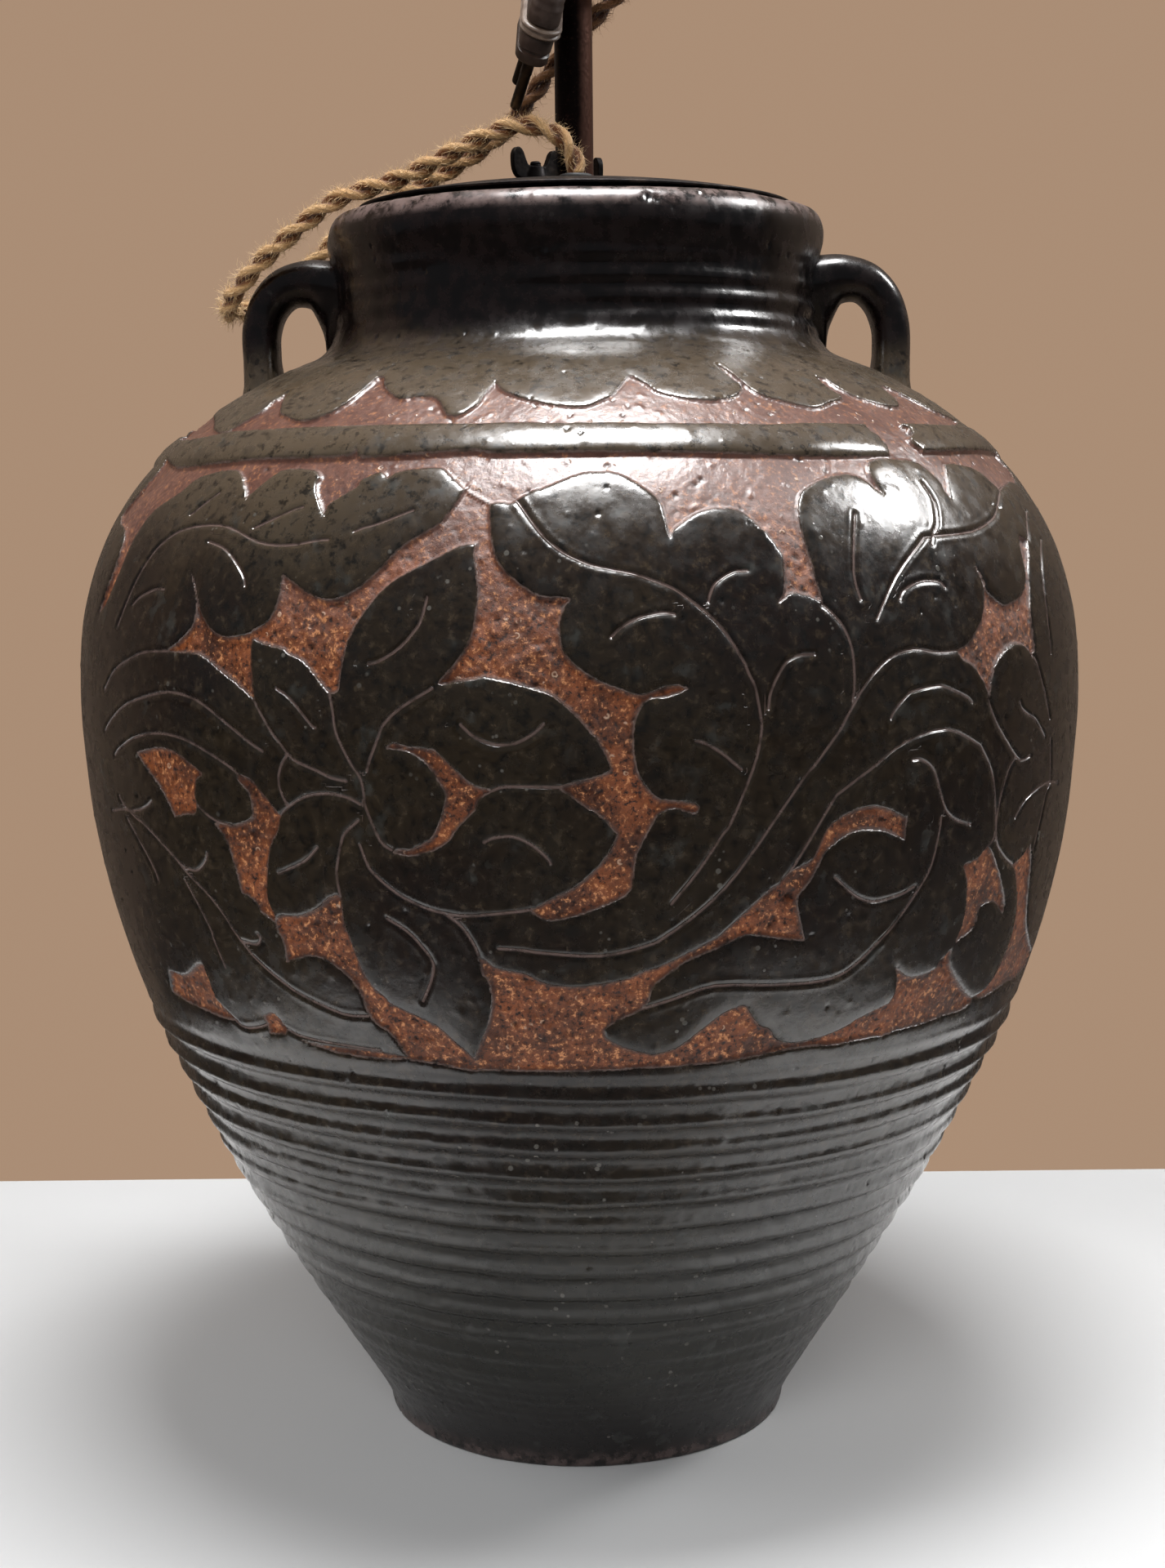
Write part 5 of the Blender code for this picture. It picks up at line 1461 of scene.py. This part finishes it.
def glazeCoat(tree, where, on):
    # Olive where thick, brown-black where thin, with pale specks and cloudy patches
    tone, height, cloud, mottle = glazeTones, on["height"], on["cloud"], on["mottle"]
    upper = spread(tree, plus(tree, height, times(tree, cloud, 0.05)), 0.318, 0.372)
    speckle = grain(tree, where, 290.0, 4.0, 0.72)
    neck = spread(tree, plus(tree, height, times(tree, mottle, 0.012)), 0.368, 0.385)
    neckTone = blendColour(tree, spread(tree, mottle, 0.40, 0.62), tone["neckDark"],
                           tone["neckRed"])
    belowNeck = spread(tree, neck, 0.0, 0.8, 1.0, 0.12)
    patch = times(tree, spread(tree, grain(tree, where, 75.0, 3.0, 0.6), 0.60, 0.70),
                  spread(tree, grain(tree, where, 420.0, 2.0), 0.35, 0.65, 0.2, 1.0))
    patch = times(tree, patch, belowNeck)
    speckSize = spread(tree, grain(tree, where, 60.0, 2.0), 0.42, 0.70, 0.0, 0.20)
    specks = spread(tree, calc(tree, "SUBTRACT", spotDistance(tree, where, 260.0), speckSize),
                    0.06, -0.02, 0.0, 0.75)
    specks = times(tree, specks, spread(tree, grain(tree, where, 28.0, 2.0), 0.40, 0.60))
    on["specks"] = times(tree, specks, belowNeck)
    glaze = blendColour(tree, spread(tree, cloud, 0.36, 0.66), tone["thin"], tone["thick"])
    return coated(tree, glaze, [
        (times(tree, upper, 0.9), tone["shoulder"]),
        (spread(tree, mottle, 0.50, 0.80, 0.0, 0.6), tone["mottle"]),
        (spread(tree, speckle, 0.50, 0.66, 0.0, 0.85), tone["darkSpeckle"]),
        (spread(tree, speckle, 0.47, 0.32, 0.0, 0.62), tone["paleSpeckle"]),
        (neck, neckTone),
        (spread(tree, height, 0.160, 0.060, 0.0, 0.7), tone["lowWall"]),
        (spread(tree, height, 0.046, 0.008, 0.0, 0.95), tone["foot"]),
        (times(tree, patch, 0.55), tone["patch"]),
        (on["specks"], tone["speck"]),
    ])


def bareClay(tree, where, on):
    # Rust below, pinker near the shoulder, with dark and sandy grains
    tone = clayTones
    rust = blendColour(tree, spread(tree, grain(tree, where, 60.0, 5.0, 0.65), 0.30, 0.70),
                       tone["rustDark"], tone["rust"])
    pink = blendColour(tree, spread(tree, grain(tree, where, 45.0, 4.0, 0.6), 0.3, 0.7),
                       tone["pinkDark"], tone["pink"])
    upper = spread(tree, plus(tree, on["height"], times(tree, on["cloud"], 0.06)), 0.306, 0.360)
    on["grit"] = grain(tree, where, 560.0, 4.0, 0.75)
    gritty = spread(tree, upper, 0.0, 1.0, 1.0, 0.45)
    rim = absolute(tree, calc(tree, "SUBTRACT", spotDistance(tree, where, 210.0), 0.16))
    on["chips"] = times(tree, spread(tree, rim, 0.07, 0.02),
                        spread(tree, grain(tree, where, 330.0, 2.0), 0.55, 0.64, 0.0, 0.75))
    return coated(tree, blendColour(tree, upper, rust, pink), [
        (times(tree, spread(tree, on["grit"], 0.54, 0.66), gritty), tone["sand"]),
        (times(tree, spread(tree, on["grit"], 0.48, 0.36), gritty), tone["iron"]),
        (on["chips"], tone["chip"]),
        # Bare ground darker within about a millimetre of the glaze's edge
        (times(tree, spread(tree, on["cut"], 1.15, 0.25, 0.0, 0.62), gritty), tone["nearEdgeDark"]),
    ])


def toolMarks(tree, where, on, glaze):
    # Cut lines, leaf edges and worn rims show greyish pink where the glaze is broken
    broken = grain(tree, where, 240.0, 3.0)
    lines = times(tree, spread(tree, on["line"], 0.62, 0.26),
                  spread(tree, broken, 0.30, 0.52, 0.35, 1.0))
    rim = absolute(tree, plus(tree, on["cut"], 0.12))
    edge = times(tree, spread(tree, rim, 0.36, 0.08),
                 spread(tree, broken, 0.34, 0.58, 0.10, 0.75))
    on["wear"] = times(tree, attribute(tree, "wornEdge"),
                       spread(tree, grain(tree, where, 170.0, 4.0, 0.7), 0.36, 0.60))
    return coated(tree, glaze, [(times(tree, lines, 0.80), clayTones["cutLine"]),
                                (edge, clayTones["leafEdge"]),
                                (times(tree, on["wear"], 0.85), clayTones["wear"])])


def skinHeights(tree, where, on):
    ripple = plus(tree, times(tree, grain(tree, where, 330.0, 3.0, 0.5), 0.16),
                  times(tree, grain(tree, where, 90.0, 2.0, 0.5), 0.26))
    rough = times(tree, on["bare"], spread(tree, on["height"], 0.298, 0.330, 0.75, 0.26))
    groove = times(tree, spread(tree, on["line"], 0.70, 0.0, 0.0, -0.75),
                   calc(tree, "SUBTRACT", 1.0, on["bare"]))
    step = spread(tree, on["cut"], -0.45, 0.25, 0.0, -0.55)
    dents = plus(tree, times(tree, on["specks"], 0.10),
                 times(tree, on["chips"], times(tree, on["bare"], 0.5)))
    made = plus(tree, times(tree, on["grit"], rough), ripple)
    return plus(tree, plus(tree, made, plus(tree, groove, step)), dents)


def glazeMaterial():
    material, tree, shader, where = startMaterial("oliveBlackGlaze")
    on = carvedMasks(tree, where)
    skin = toolMarks(tree, where, on, glazeCoat(tree, where, on))
    pits = times(tree, attribute(tree, "pitMark"), 0.9)
    base = coated(tree, skin, [(on["bare"], bareClay(tree, where, on)), (pits, clayTones["pit"])])
    tree.links.new(base, shader.inputs["Base Color"])
    glazeRough = spread(tree, on["mottle"], 0.28, 0.72, 0.17, 0.33)
    clayRough = spread(tree, on["height"], 0.300, 0.336, 0.68, 0.33)
    rough = node(tree, "ShaderNodeMix", {0: on["bare"], 2: glazeRough, 3: clayRough}).outputs[0]
    rough = node(tree, "ShaderNodeMix", {0: times(tree, on["wear"], 0.7), 2: rough,
                                         3: 0.42}).outputs[0]
    tree.links.new(rough, shader.inputs["Roughness"])
    shader.inputs["IOR"].default_value = 1.78
    bumped(tree, shader, skinHeights(tree, where, on), 0.55 * mm, 0.95)
    return material


glaze = glazeMaterial()

# How many are tried, their size and depth in mm, and where they stay
firingMarks = [
    (620, (0.35, 0.80), 0.50, "glaze"),
    (1500, (0.6, 1.3), -0.14, "glaze"),
    (3000, (0.40, 0.95), 0.55, "ground"),
    (2600, (0.5, 1.1), -0.32, "ground"),
]


def makeJarSkin(shape):
    ground, lines, offsets = carveFields()
    relief = wallRelief(shape, ground, lines)
    mark = np.zeros_like(relief)
    rng = np.random.default_rng(8)
    for spots in firingMarks:
        addSpots(relief, mark, ground, rng, *spots)
    addMarks(relief, mark, shape["faults"])
    points = wallPoints(shape, relief)
    normals = gridNormals(points)
    rimTop = smoothStep(rowHeight, 413.4, 416.6)
    footEdge = 0.55 * np.exp(-((rowHeight - 2.0) / 3.0) ** 2)
    worn = np.broadcast_to(np.clip(rimTop + footEdge, 0.0, 1.0)[:, None], relief.shape)
    fields = {"groundDepth": ground, "lineAcross": offsets.across, "lineClimb": offsets.climb,
              "pitMark": mark, "wornEdge": worn}
    front = np.nonzero(columnAngle < 0.0)[0]
    back = np.nonzero(columnAngle >= 0.0)[0]
    skins = []
    for label, share, count in (("Front", front, shape["frontPanels"]),
                                ("Back", back, shape["backPanels"])):
        cuts = np.linspace(0, len(share), count + 1).astype(int)
        for i in range(count):
            columns = share[cuts[i]:cuts[i + 1]]
            columns = np.append(columns, (columns[-1] + 1) % len(columnAngle))
            name = "jarWall%s%d" % (label, i + 1)
            mesh = panelMesh(name, points, normals, fields, columns)
            skins.append(putIn(name, mesh, glaze))
    for skin in skins:
        settle(skin, "jar", "glaze", "jar_body")
    return skins


jarSkins = makeJarSkin(jarShape)
print("jar wall carved: %d panels" % len(jarSkins))


def plainFields(mesh):
    # Glaze with nothing cut in it
    for name, value in (("groundDepth", -4.0), ("lineAcross", 4.0), ("lineClimb", 0.0),
                        ("pitMark", 0.0), ("wornEdge", 0.0)):
        setField(mesh, name, np.full(len(mesh.vertices), value))


insideShape = {
    "outline": [
        (72.5, 415.2), (72.6, 408), (73.2, 392), (74.2, 380), (77, 371),
        (84, 364.5), (95, 359), (112, 350), (130, 336), (146, 318),
        (157, 296), (162.6, 270), (162.8, 246), (159.6, 216), (153, 186),
        (144, 157), (131, 128), (117, 99), (100, 69), (84, 41),
        (72, 24), (62, 17.4), (40, 16.2), (0.5, 16),
    ],
    "footOutline": [(62, 0.4), (58.6, 0.6), (56.6, 2.8), (40, 3.2), (0.5, 3.2)],
    "steps": 144,
    "ridgeDepth": 0.35,
    "ridgePitch": 7.5,
}


def makeInside(shape):
    for name, outline in (("jarInside", shape["outline"]),
                          ("jarFootHollow", shape["footOutline"])):
        rows = smoothCurve([Vector((r, z, 0.0)) for r, z in outline], 3.0)
        angles = np.linspace(0.0, fullTurn, shape["steps"], endpoint=False)
        radius = np.array([p.x for p in rows])[:, None]
        height = np.array([p.y for p in rows])[:, None]
        turns = shape["ridgeDepth"] * np.sin(height / shape["ridgePitch"] * fullTurn
                                             + 3.0 * np.sin(angles)[None, :])
        fade = smoothStep(-height, -405.0, -380.0) if name == "jarInside" else 0.0
        radius = np.maximum(radius + turns * fade * (radius > 30.0), 0.4)
        mesh = gridMesh(name, roundPoints(radius, angles, height) * mm, wrapAround=True)
        plainFields(mesh)
        settle(putIn(name, mesh, glaze), "jar", "glaze", "jar_body")


makeInside(insideShape)
print("inside and foot made")

handleShape = {
    "route": [
        (70, 394.2), (77, 395.6), (84.5, 396.9), (92, 397.6), (99.6, 395.6),
        (105.2, 389.9), (108.2, 381.7), (108.7, 372.7), (108.3, 363.1), (108.2, 354),
        (107.6, 346),
    ],
    "thickness": [9.6, 8.8, 8, 7.3, 6.7, 6.4, 6.2, 6.2, 6.7, 8.2, 10.6],
    "width": [16.5, 15, 13.4, 12.2, 11.4, 10.9, 10.7, 10.8, 11.6, 14, 17],
    "webDepth": 16.0,
    "webReach": 4.0,
    "neckRadius": 82.4,
    "squareness": 2.6,
    "lumps": 26,
    "thumbGroove": 0.45,
    "sides": 64,
}


def makeHandle(name, side, shape, seed):
    rng = np.random.default_rng(seed)
    route = smoothCurve([Vector((side * x, 0.0, z)) for x, z in shape["route"]], 1.0)
    line = np.array([tuple(p) for p in route])
    share = np.linspace(0.0, 1.0, len(line))
    marks = np.linspace(0.0, 1.0, len(shape["thickness"]))
    thick = np.interp(share, marks, shape["thickness"])
    wide = np.interp(share, marks, shape["width"])
    ahead = np.gradient(line, axis=0)
    ahead /= np.linalg.norm(ahead, axis=1)[:, None]
    outward = np.stack([ahead[:, 2], 0 * share, -ahead[:, 0]], axis=1) * -side
    around = np.linspace(0.0, fullTurn, shape["sides"], endpoint=False)
    power = shape["squareness"]
    section = 1.0 / (np.abs(np.cos(around)) ** power
                     + np.abs(np.sin(around)) ** power) ** (1.0 / power)
    lumps = np.zeros((len(line), shape["sides"]))
    for _ in range(shape["lumps"]):
        angle, spot, size = rng.uniform(0, fullTurn), rng.uniform(0, 1), rng.uniform(0.05, 0.14)
        lumps += rng.normal(0.0, 0.16) * np.exp(-((share[:, None] - spot) / size) ** 2
                                                - (wrapped(around[None, :] - angle) / 0.7) ** 2)
    groove = -shape["thumbGroove"] * np.exp(-(np.sin(around) / 0.30) ** 2) * (np.cos(around) > 0)
    # Clay smoothed down from the upper root on to the neck
    clear = np.clip(np.abs(line[:, 0]) - shape["neckRadius"], 0.0, None)
    web = (shape["webDepth"] * np.exp(-clear / shape["webReach"])[:, None]
           * np.clip(-np.cos(around), 0.0, 1.0) ** 3)
    radial = section * np.cos(around) * (thick[:, None] + lumps + groove + web)
    sideways = section * np.sin(around) * (wide[:, None] + lumps)
    points = line[:, None, :] + outward[:, None, :] * radial[..., None]
    points[..., 1] += sideways
    mesh = gridMesh(name, points * mm, wrapAround=True, capEnds=True)
    plainFields(mesh)
    return putIn(name, mended(mesh), glaze)


settle(makeHandle("handleLeft", -1.0, handleShape, 4), "jar", "glaze", "handle_left")
settle(makeHandle("handleRight", 1.0, handleShape, 6), "jar", "glaze", "handle_right")
print("handles pulled")


# Cap, stem and their fastenings

capShape = {
    "radius": 74.4,
    "edgeTop": 421.5,
    "crown": 427.4,
    "flatRadius": 23.0,
    "sheet": 1.2,
    "bore": 5.3,
    "rings": 24,
    "steps": 160,
}


def makeCap(cap):
    # Flat in the middle, then a dome, and a rounded edge all round
    wide, rim, crown, flat = cap["radius"], cap["edgeTop"], cap["crown"], cap["flatRadius"]
    top = []
    for i in range(cap["rings"] + 1):
        share = i / cap["rings"]
        top.append((flat + (wide - 0.7 - flat) * share, crown - (crown - rim) * share ** 2))
    edge = [(wide - 0.2, rim - 0.12), (wide, rim - 0.45), (wide - 0.1, rim - 0.85),
            (wide - 0.6, rim - 1.1)]
    under = [(radius, height - cap["sheet"]) for radius, height in reversed(top[:-1])]
    profile = ([(cap["bore"], crown)] + top + edge + under
               + [(cap["bore"], crown - cap["sheet"])])
    mesh = turnedMesh("mouthCap", [(r * mm, z * mm) for r, z in profile], cap["steps"])
    item = putIn("mouthCap", mesh, blackened)
    item.data.set_sharp_from_angle(angle=math.radians(60.0))
    return settle(item, "fitting", "bronze", "mouth_cap")


makeCap(capShape)


def makeTurned(name, corners, soft, material, body, slotName, nodeName, place=(0.0, 0.0),
               steps=96):
    outline = roundedOutline([(r * mm, z * mm) for r, z in corners], soft * mm)
    item = putIn(name, turnedMesh(name, outline, steps, place=place), material)
    item.data.set_sharp_from_angle(angle=math.radians(60.0))
    return settle(item, body, slotName, nodeName)


def ringCorners(inner, outer, low, high):
    return [(inner, high), (outer, high), (outer, low), (inner, low)]


def threadedRod(name, radius, pitch, depth, low, high, material, sides, perTurn,
                place=(0.0, 0.0), bore=None):
    # A screw thread as one wound groove, chamfered at both ends
    rows = max(4, round((high - low) / pitch * perTurn))
    heights = np.linspace(low, high, rows + 1)
    angles = np.linspace(0.0, fullTurn, sides, endpoint=False)
    phase = heights[:, None] / pitch - angles[None, :] / fullTurn
    tooth = 1.0 - np.abs((phase % 1.0) * 2.0 - 1.0)
    ends = np.minimum(heights - low, high - heights)[:, None]
    radii = radius - depth * tooth - np.clip(0.5 - ends, 0.0, 0.5)
    points = roundPoints(radii, angles, heights[:, None]) * mm + (*place, 0.0)
    if bore is None:
        mesh = gridMesh(name, points, wrapAround=True, capEnds=True)
    else:
        inner = roundPoints(bore, angles, np.array([[high], [low]])) * mm
        mesh = gridMesh(name, np.concatenate([points, inner, points[:1]]), wrapAround=True)
        mended(mesh, join=0.001 * mm)
    return putIn(name, mesh, material)


def polar(radius, degrees):
    return (radius * math.cos(math.radians(degrees)) * mm,
            radius * math.sin(math.radians(degrees)) * mm)


# Inner radius, outer radius, low and high, in mm
stemShape = {
    "pipe": (4.0, 5.0, 407.2, 646.0),
    "tube": (5.3, 6.5, 429.0, 633.0),
    "seat": (5.3, 6.9, 427.7, 428.7),
    "ring": (5.3, 8.0, 633.3, 639.3),
    "lowerWasher": (5.3, 9.0, 424.7, 425.9),
    "pipeThread": (1.0, 0.5),  # pitch and depth
}

inner, outer, low, high = stemShape["pipe"]
settle(threadedRod("threadedPipe", outer, *stemShape["pipeThread"], low, high, steel, sides=32,
                   perTurn=5, bore=inner), "fitting", "steel", "threaded_pipe")
makeTurned("stemTube", ringCorners(*stemShape["tube"]), 0.5, stemBronze, "fitting", "bronze",
           "stem_tube")
makeTurned("stemSeatWasher", ringCorners(*stemShape["seat"]), 0.35, bronze, "fitting", "bronze",
           "stem_seat_washer")
inner, outer, low, high = stemShape["ring"]
makeTurned("stemTopRing",
           [(inner, high), (outer - 0.7, high), (outer, high - 0.9), (outer, high - 2.2),
            (outer - 0.6, high - 2.6), (outer - 0.6, low + 2.2), (outer, low + 1.8),
            (outer, low + 0.8), (outer - 0.7, low), (inner, low)],
           0.3, bronze, "fitting", "bronze", "stem_top_ring")
makeTurned("capLowerWasher", ringCorners(*stemShape["lowerWasher"]), 0.4, steel, "fitting",
           "steel", "lower_washer")

grommetCorners = [(3.5, 429.2), (5.2, 429.2), (5.8, 428.5), (5.8, 427.7), (4.5, 427.7),
                  (4.5, 425.6), (5.8, 425.6), (5.8, 424.1), (3.5, 424.1)]
makeTurned("flexGrommet", grommetCorners, 0.4, rubber, "fitting", "rubber", "cord_grommet",
           place=flexSetup["start"][:2], steps=64)

nutShape = {
    "circle": 17.2,
    "places": {"Left": (-140.0, 38.0), "Right": (75.0, -62.0)},  # degrees: place, turn of ears
    "base": 429.0,
    "hubHeight": 5.2,
    "hubRadius": 4.0,
    "hubTop": 3.1,
    "bore": 2.3,
    "span": 20.0,
    "height": 11.3,
    "earThick": 2.4,
    "voxel": 0.24,
    "washer": (2.3, 4.5, 427.7, 428.7),
    "stud": (2.0, 0.7, 0.28, 352.6, 436.0),  # radius, pitch, thread depth, low and high
}

# Shares of half the span and of the height
earOutline = [(0.14, 0.05), (0.50, 0.06), (0.80, 0.14), (0.95, 0.35), (0.99, 0.62), (0.97, 0.83),
              (0.86, 0.97), (0.71, 0.99), (0.57, 0.88), (0.47, 0.67), (0.36, 0.50), (0.14, 0.43)]


def addEar(work, nut, side, turn, place):
    # A flat outline, thicker at its root, rounded afterwards by the remesh
    outline = smoothArc([(x * nut["span"] / 2, y * nut["height"]) for x, y in
                         earOutline + earOutline[:1]], 3)[:-1]
    rings = []
    for across in (-1.0, 1.0):
        ring = []
        for x, z in outline:
            thick = nut["earThick"] * (1.10 - 0.25 * x / (nut["span"] / 2))
            flat = Vector((side * x, across * thick / 2.0, z + nut["base"])) * mm
            spot = Matrix.Rotation(math.radians(turn), 4, "Z") @ flat
            ring.append(work.verts.new((spot.x + place[0], spot.y + place[1], spot.z)))
        rings.append(ring)
    work.faces.new(rings[0][::-1])
    work.faces.new(rings[1])
    for i in range(len(outline)):
        j = (i + 1) % len(outline)
        work.faces.new((rings[0][i], rings[0][j], rings[1][j], rings[1][i]))


def makeWingNut(label, nut):
    angle, turn = nut["places"][label]
    place = polar(nut["circle"], angle)
    base = nut["base"]
    hub = [(nut["bore"], base + nut["hubHeight"]), (nut["hubTop"], base + nut["hubHeight"]),
           (nut["hubRadius"], base + nut["hubHeight"] / 3), (nut["hubRadius"], base),
           (nut["bore"], base)]
    mesh = turnedMesh("wingNut" + label, [(r * mm, z * mm) for r, z in hub], 40, place=place)
    work = bmesh.new()
    work.from_mesh(mesh)
    for side in (1.0, -1.0):
        addEar(work, nut, side, turn, place)
    work.to_mesh(mesh)
    work.free()
    item = putIn("wingNut" + label, mended(mesh), blackened)
    remesh = item.modifiers.new("cast", "REMESH")
    remesh.mode = "VOXEL"
    remesh.voxel_size = nut["voxel"] * mm
    remesh.use_smooth_shade = True
    smooth = item.modifiers.new("soften", "SMOOTH")
    smooth.factor = 0.5
    smooth.iterations = 3
    bpy.context.view_layer.update()
    graph = bpy.context.evaluated_depsgraph_get()
    cast = bpy.data.meshes.new_from_object(item.evaluated_get(graph))
    item.modifiers.clear()
    item.data = cast
    cast.materials.clear()
    cast.materials.append(blackened)
    cast.shade_smooth()
    settle(item, label.lower() + "_wing_nut", "bronze", "wing_nut_" + label.lower())
    makeTurned("wingWasher" + label, ringCorners(*nut["washer"]), 0.35, blackened, "fitting",
               "bronze", "wing_washer_" + label.lower(), place=place, steps=56)
    settle(threadedRod("clampStud" + label, *nut["stud"], blackened, sides=18, perTurn=4,
                       place=place), "clamp", "steel", "clamp_stud_" + label.lower())


for label in nutShape["places"]:
    makeWingNut(label, nutShape)

for name in ("clamp_bar", "clamp_nut_left", "clamp_nut_right", "lower_locknut"):
    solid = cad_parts[name]
    for place in solid.material_slots:
        place.material = steel
print("cap, stem, wing nuts and clamp made")


# Floor, backdrop and lights. Each zone is where a tone starts and ends to change, in metres.

stageSetup = {
    "floor": colour(0.78, 0.785, 0.79),
    "floorPaintedShadeAtBack": colour(0.66, 0.665, 0.67),
    "floorPaintedShadeFurther": colour(0.56, 0.565, 0.57),
    "backdrop": colour(0.402, 0.268, 0.180),
    "glossPaintedShadowInFront": colour(0.46, 0.46, 0.46),
    "glossAside": colour(0.98, 0.98, 0.98),
    "glossBeyond": colour(0.020, 0.014, 0.011),
    "wall": colour(0.150, 0.105, 0.075),
    "backZone": (-0.10, 0.25),
    "furtherZone": (0.36, 0.66),
    "asideZone": (0.05, 0.21),
    "sheetEndZone": (0.285, 0.345),
    "sheetEndShift": (-0.045, 0.035),
    "wallPlace": 0.255,
    "halfSize": 3.0,
    "wallHeight": 3.0,
    "roomLight": colour(0.90, 0.94, 1.0),
    "roomStrength": 0.07,
}


def stagePiece(name, corners, shade):
    mesh = bpy.data.meshes.new(name)
    mesh.from_pydata(corners, [], [tuple(range(len(corners)))])
    material, tree, shader, where = startMaterial(name)
    tree.links.new(shade(tree, where), shader.inputs["Base Color"])
    shader.inputs["Roughness"].default_value = 0.8
    item = putIn(name, mesh, material, smooth=False)
    return item


def floorShade(tree, where):
    # Painted reflection: glossy rays see the sheet painted bright at both sides, painted dim in
    # front as painted shadow, and ended a little further off
    stage = stageSetup
    split = node(tree, "ShaderNodeSeparateXYZ", {0: where})
    away = node(tree, "ShaderNodeVectorMath", {0: where}, operation="LENGTH").outputs["Value"]
    # Painted shade: the floor is painted darker towards the back and further off, standing in for
    # less light there
    seen = blendColour(tree, spread(tree, split.outputs[1], *stage["backZone"]),
                       stage["floor"], stage["floorPaintedShadeAtBack"])
    seen = blendColour(tree, spread(tree, away, *stage["furtherZone"]), seen,
                       stage["floorPaintedShadeFurther"])
    aside = spread(tree, absolute(tree, split.outputs[0]), *stage["asideZone"])
    shift = spread(tree, aside, 0.0, 1.0, *stage["sheetEndShift"])
    beyond = spread(tree, calc(tree, "SUBTRACT", away, shift), *stage["sheetEndZone"])
    mirrored = blendColour(tree, aside, stage["glossPaintedShadowInFront"], stage["glossAside"])
    mirrored = blendColour(tree, beyond, mirrored, stage["glossBeyond"])
    gloss = node(tree, "ShaderNodeLightPath").outputs["Is Glossy Ray"]
    return blendColour(tree, gloss, seen, mirrored)


def wallShade(tree, where):
    cloud = grain(tree, where, 3.0, 2.0)
    tone = stageSetup["wall"]
    return blendColour(tree, cloud, tone, tuple(0.9 * value for value in tone[:3]) + (1.0,))


half, wallY, wallTop = (stageSetup[name] for name in ("halfSize", "wallPlace", "wallHeight"))
stagePiece("paleFloor", [(-half, -half, 0.0), (half, -half, 0.0), (half, wallY, 0.0),
                         (-half, wallY, 0.0)], floorShade)
backWall = stagePiece("dimWall", [(-half, wallY, 0.0), (half, wallY, 0.0),
                                  (half, wallY, wallTop), (-half, wallY, wallTop)], wallShade)
backWall.visible_camera = False  # the plain backdrop is the world's, so no side view is blocked

lightSetup = {
    "ceiling": {"place": (0.06, -0.16, 1.75), "aim": (0.02, -0.05, 0.3), "size": (0.66, 0.50),
                "watts": 25.0, "inGloss": True, "inMatt": True},
    "ceilingShine": {"place": (0.06, -0.22, 1.70), "aim": (0.02, -0.05, 0.3), "size": (0.60, 0.60),
                     "watts": 20.0, "inGloss": True, "inMatt": False},
    "rightWindow": {"place": (1.19, 0.12, 1.30), "aim": (0.0, 0.0, 0.32), "size": (0.30, 0.30),
                    "watts": 7.0, "inGloss": True, "inMatt": True},
    "rightShine": {"place": (1.17, 0.12, 1.28), "aim": (0.0, 0.0, 0.32), "size": (0.30, 0.30),
                   "watts": 7.0, "inGloss": True, "inMatt": False},
    "frontFill": {"place": (-1.1, -4.4, 2.78), "aim": (0.0, 0.0, 0.22), "size": (3.2, 2.4),
                  "watts": 104.0, "inGloss": False, "inMatt": True},
    "leftFill": {"place": (-1.5, -0.5, 1.7), "aim": (-0.35, 0.0, 0.0), "size": (1.0, 1.0),
                 "watts": 9.0, "inGloss": False, "inMatt": True},
}


def makeLights(setup):
    for name, lamp in setup.items():
        data = bpy.data.lights.new(name, "AREA")
        data.shape = "RECTANGLE"
        data.size, data.size_y = lamp["size"]
        data.energy = lamp["watts"]
        item = bpy.data.objects.new(name, data)
        item.location = lamp["place"]
        toward = Vector(lamp["aim"]) - Vector(lamp["place"])
        item.rotation_euler = toward.to_track_quat("-Z", "Y").to_euler()
        item.visible_glossy = lamp["inGloss"]
        item.visible_diffuse = lamp["inMatt"]
        bpy.context.scene.collection.objects.link(item)
    world = bpy.data.worlds.new("softRoom")
    bpy.context.scene.world = world
    world.use_nodes = True
    tree = world.node_tree
    sky = tree.nodes["Background"]
    straight = node(tree, "ShaderNodeLightPath").outputs["Is Camera Ray"]
    tree.links.new(blendColour(tree, straight, stageSetup["roomLight"], stageSetup["backdrop"]),
                   sky.inputs["Color"])
    tree.links.new(spread(tree, straight, 0.0, 1.0, stageSetup["roomStrength"], 1.0),
                   sky.inputs["Strength"])


makeLights(lightSetup)
bpy.context.scene.view_settings.view_transform = "Standard"
print("lights set")
